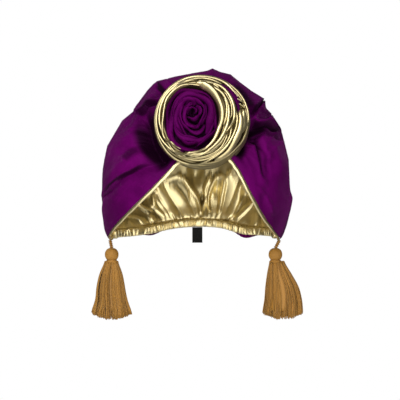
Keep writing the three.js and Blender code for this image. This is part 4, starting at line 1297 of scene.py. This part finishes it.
def tassel_loop(side, tassel):
    """A short cord of two plies."""
    tubes = Tubes()
    share = np.linspace(0, 1, TWIST["points"])
    height = TWIST["top"] + share * (TWIST["bottom"] - TWIST["top"])
    line = stacked(tassel["x"] + tassel["swing"] * share, tassel["y"], height)
    forward = unit(np.gradient(line, axis=0))
    front = np.broadcast_to([0.0, 1.0, 0.0], line.shape)
    aside = unit(np.cross(front, forward))
    for ply in (0, 1):
        turn = (share * TWIST["turns"] * 2 * np.pi + ply * np.pi)[:, None]
        path = line + TWIST["apart"] * (aside * np.cos(turn) + front * np.sin(turn))
        tubes.add(tube_sections(path, aside, front, TWIST["half"], TWIST["half"], TWIST["sides"]))
    tubes.piece(f"tassel_{side}_twist", THREAD, "gold_thread", [f"tassel_loop_{side}"])


def tassel_head(side, tassel):
    """A ball covered with upright threads, and the binding under it."""
    angle, share = np.meshgrid(np.linspace(0, 2 * np.pi, 181), np.linspace(*BALL["ends"], 40), indexing="ij")
    tilt = np.pi * (share - 0.5)
    wander = wavy(BALL_WANDER, share, angle * BALL["around"])
    threads = BALL["thread_height"] * np.cos(angle * BALL["threads"] + wander)
    radius = HEAD_RADIUS * np.cos(tilt) ** BALL["fullness"] + threads * np.cos(tilt)
    x, y, middle = tassel["x"] + tassel["swing"], tassel["y"], -LOOP_LENGTH - HEAD_HEIGHT / 2
    height = middle - HEAD_HEIGHT / 2 * np.sin(tilt)
    ball = stacked(x + radius * np.cos(angle), y + radius * np.sin(angle), height)
    tubes = Tubes()
    tubes.add(ball.transpose(1, 0, 2)[:, :-1])
    turn = np.linspace(0, 2 * np.pi, BINDING["points"], endpoint=False)
    for ring in range(BINDING["rings"]):
        radius = BINDING["radius"] + BINDING["wider"] * ring
        height = NECK + BINDING["height"] - BINDING["lower"] * ring
        path = stacked(x + radius * np.cos(turn), y + radius * np.sin(turn), height)
        outwards, up = unit(path - np.array([x, y, height])), np.broadcast_to([0.0, 0, 1], path.shape)
        tubes.add(tube_sections(path, outwards, up, **BINDING_THREAD), closed=True)
    tubes.piece(f"tassel_{side}_ball", THREAD, "gold_thread", [f"tassel_head_{side}"])


def tassel_skirt(side, tassel):
    """Several hundred threads in locks, each a thin three-sided strand, round a core."""
    rng = np.random.default_rng(tassel["seed"])
    locks, spread = STRANDS["locks"], THREAD_SPREAD
    x, y = tassel["x"] + tassel["swing"], tassel["y"]
    share = np.linspace(0, 1, STRANDS["points"])
    table = np.array(tassel["rows"], float)
    knots = np.linspace(0, 1, len(table))
    padded = (np.pad(np.interp(share, knots, table[:, k]), 1, "edge") for k in (0, 1))
    reach, lean = (np.convolve(line, [0.25, 0.5, 0.25], "valid") for line in padded)
    lock_turn = rng.uniform(0, 2 * np.pi, locks)
    lock_depth = np.sqrt(rng.uniform(*LOCK_DEPTHS, locks))
    lock_bend = THREAD_WAVES["lock"] * rng.normal(0, 1, (locks, 2))[:, 0]
    tubes = Tubes()
    for strand in range(STRANDS["count"]):
        lock = strand % locks
        turn = lock_turn[lock] + rng.normal(0, spread["turn"])
        depth = np.clip(lock_depth[lock] + rng.normal(0, spread["depth"]), *THREAD_DEPTHS)
        curl, phase = rng.normal(0, spread["curl"]), rng.uniform(0, THREAD_WAVES["phases"])
        wave = THREAD_WAVES["out"] * np.sin(THREAD_WAVES["out_turns"] * share + phase) * share
        out = (reach - STRANDS["inside"]) * depth + wave
        curled = THREAD_WAVES["thread"] * curl * np.sin(THREAD_WAVES["thread_turns"] * share + phase)
        around = turn + lock_bend[lock] * np.sin(np.pi * share) + curled
        length = SKIRT_LENGTH - SHORTER * np.cos(turn) ** 2 * depth
        length = length * (1 + rng.normal(0, spread["length"]))
        height = NECK + STRANDS["above"] - share * length
        path = stacked(x + lean + out * np.cos(around), y + DEPTH_SHARE * out * np.sin(around), height)
        forward = unit(np.gradient(path, axis=0))
        first = unit(np.cross(forward, [np.sin(phase), np.cos(phase), THREAD_TILT]))
        second = np.cross(forward, first)
        tubes.add(tube_sections(path, first, second, STRANDS["half"], STRANDS["half"], STRANDS["sides"]))
    tubes.piece(f"tassel_{side}_threads", THREAD, "gold_thread", [f"tassel_skirt_{side}"])
    angle = np.linspace(0, 2 * np.pi, CORE["sides"], endpoint=False)
    half, lean, share = CORE["share"] * reach[:, None], lean[:, None], share[:, None]
    height = NECK - share * (SKIRT_LENGTH - CORE["shorter"])
    core = Tubes()
    core.add(stacked(x + lean + half * np.cos(angle), y + DEPTH_SHARE * half * np.sin(angle), height))
    core.piece(f"tassel_{side}_core", THREAD, "gold_thread")


# The label: half width, middle, first and last place below the seam, how far it stands in front of the
# seam, thickness, and how it bows along its length and across it.
LABEL = dict(half=5.8, x=0.8, top=0.4, bottom=18.2, front=4.2, thick=0.9, bow=0.5, cup=0.15, cup_turns=0.5)


def label():
    """A folded tape that hangs from the casing."""
    _, seam_y, seam_height = guide_curve(NAPE_GUIDE, np.array([0.5]))[0]
    half, bottom = LABEL["half"], LABEL["bottom"]
    x, down = np.meshgrid(np.linspace(-half, half, 13), np.linspace(LABEL["top"], bottom, 24), indexing="ij")
    bow = LABEL["bow"] * np.sin(np.pi * down / bottom) + LABEL["cup"] * np.sin(x * LABEL["cup_turns"])
    face = stacked(LABEL["x"] + x, seam_y - LABEL["front"] + bow, seam_height - down).transpose(1, 0, 2)
    back = face + (0, LABEL["thick"], 0)
    tubes = Tubes()
    tubes.add(np.concatenate([face, back[:, ::-1]], 1))
    tubes.piece("nape_label", BLACK, "black_satin", ["label"])


cloth, foil_cloth = outer_cloth(), lining()
nape_band()
front_piping("front_edge_left", 0, 1, "front_piping_left")
front_piping("front_edge_right", 1, -1, "front_piping_right")
folds("rose_outer_folds", OUTER_FOLDS, LAME, "gold_lame", "rose_wrap_outer", 300, GOLD_PAINTED_SHADE)
folds("rose_inner_folds", INNER_FOLDS, LAME, "gold_lame", "rose_wrap_inner", 900, GOLD_PAINTED_SHADE)
folds("rose_violet_strip", SLIVER_FOLDS, SILK, "violet_silk", None, 1500, SLIVER_PAINTED_SHADE)
rose_ground()
rose_side()
rose_heart()
heart_ground()
for side, tassel in TASSELS.items():
    tassel_loop(side, tassel)
    tassel_head(side, tassel)
    tassel_skirt(side, tassel)
label()


# Studio


# Lamps: place and target in metres, size, power, and whether smooth surfaces mirror them.
LAMPS = {
    "key": ((-0.5, -1.4, 1.0), (0, -0.05, -0.1), 0.6, 14, True),
    "front": ((0.0, -2.9, -0.3), (0, 0.05, -0.13), 4.4, 96, True),
    "back_left": ((-1.7, 1.8, 0.6), (0, 0, -0.1), 1.6, 30, False),
    "back_right": ((1.7, 1.8, 0.6), (0, 0, -0.1), 1.6, 30, False),
}
# The world's light, the floor, and the camera, which looks level from the front.
WORLD_LIGHT = 0.06
FLOOR = dict(corners=[(-1.2, -1.2, 0), (1.2, -1.2, 0), (1.2, 1.0, 0), (-1.2, 1.0, 0)], height=-1.1)
FLOOR_LOOK = {"Base Color": (0.85, 0.85, 0.84, 1), "Roughness": 0.6}
CAMERA = dict(lens=180, sensor=36, clip_end=20, x=0.00385, y=-2.2, above_ears=0.0429)


def area_light(name, place, target, size, power, mirrored):
    data = bpy.data.lights.new(name, "AREA")
    data.shape, data.size, data.energy = "DISK", size, power
    lamp = bpy.data.objects.new(name, data)
    lamp.location = place
    away = unit(np.array(place, float) - np.array(target, float))
    yaw, tilt = np.arctan2(away[0], -away[1]), np.arccos(np.clip(away[2], -1, 1))
    lamp.rotation_euler = (tilt, 0, yaw)
    lamp.visible_camera, lamp.visible_glossy = False, mirrored
    bpy.context.scene.collection.objects.link(lamp)


def studio():
    scene = bpy.context.scene
    scene.view_settings.view_transform = "Standard"
    world = bpy.data.worlds.new("studio")
    scene.world = world
    world.use_nodes = True
    tree = world.node_tree
    tree.nodes.clear()
    seen = add_node(tree, "ShaderNodeBackground", {"Color": (1, 1, 1, 1), "Strength": 1.0})
    lighting = add_node(tree, "ShaderNodeBackground", {"Color": (1, 1, 1, 1), "Strength": WORLD_LIGHT})
    path = add_node(tree, "ShaderNodeLightPath")
    mixed = add_node(tree, "ShaderNodeMixShader", {0: path.outputs["Is Camera Ray"]})
    tree.links.new(lighting.outputs[0], mixed.inputs[1])
    tree.links.new(seen.outputs[0], mixed.inputs[2])
    target = add_node(tree, "ShaderNodeOutputWorld")
    tree.links.new(mixed.outputs[0], target.inputs["Surface"])
    for name, lamp in LAMPS.items():
        area_light(name, *lamp)
    floor = bpy.data.meshes.new("floor")
    floor.from_pydata(FLOOR["corners"], [], [(0, 1, 2, 3)])
    pale, _, _ = material("pale_floor", FLOOR_LOOK)
    floor.materials.append(pale)
    ground = bpy.data.objects.new("floor", floor)
    ground.location.z = FLOOR["height"]
    scene.collection.objects.link(ground)
    camera = bpy.data.cameras.new("camera")
    camera.lens, camera.sensor_width, camera.clip_end = CAMERA["lens"], CAMERA["sensor"], CAMERA["clip_end"]
    view = bpy.data.objects.new("camera", camera)
    view.location = (CAMERA["x"], CAMERA["y"], CAMERA["above_ears"] - SEAT_HEIGHT / 1000)
    view.rotation_euler = (np.pi / 2, 0, 0)
    scene.collection.objects.link(view)
    scene.camera = view


studio()
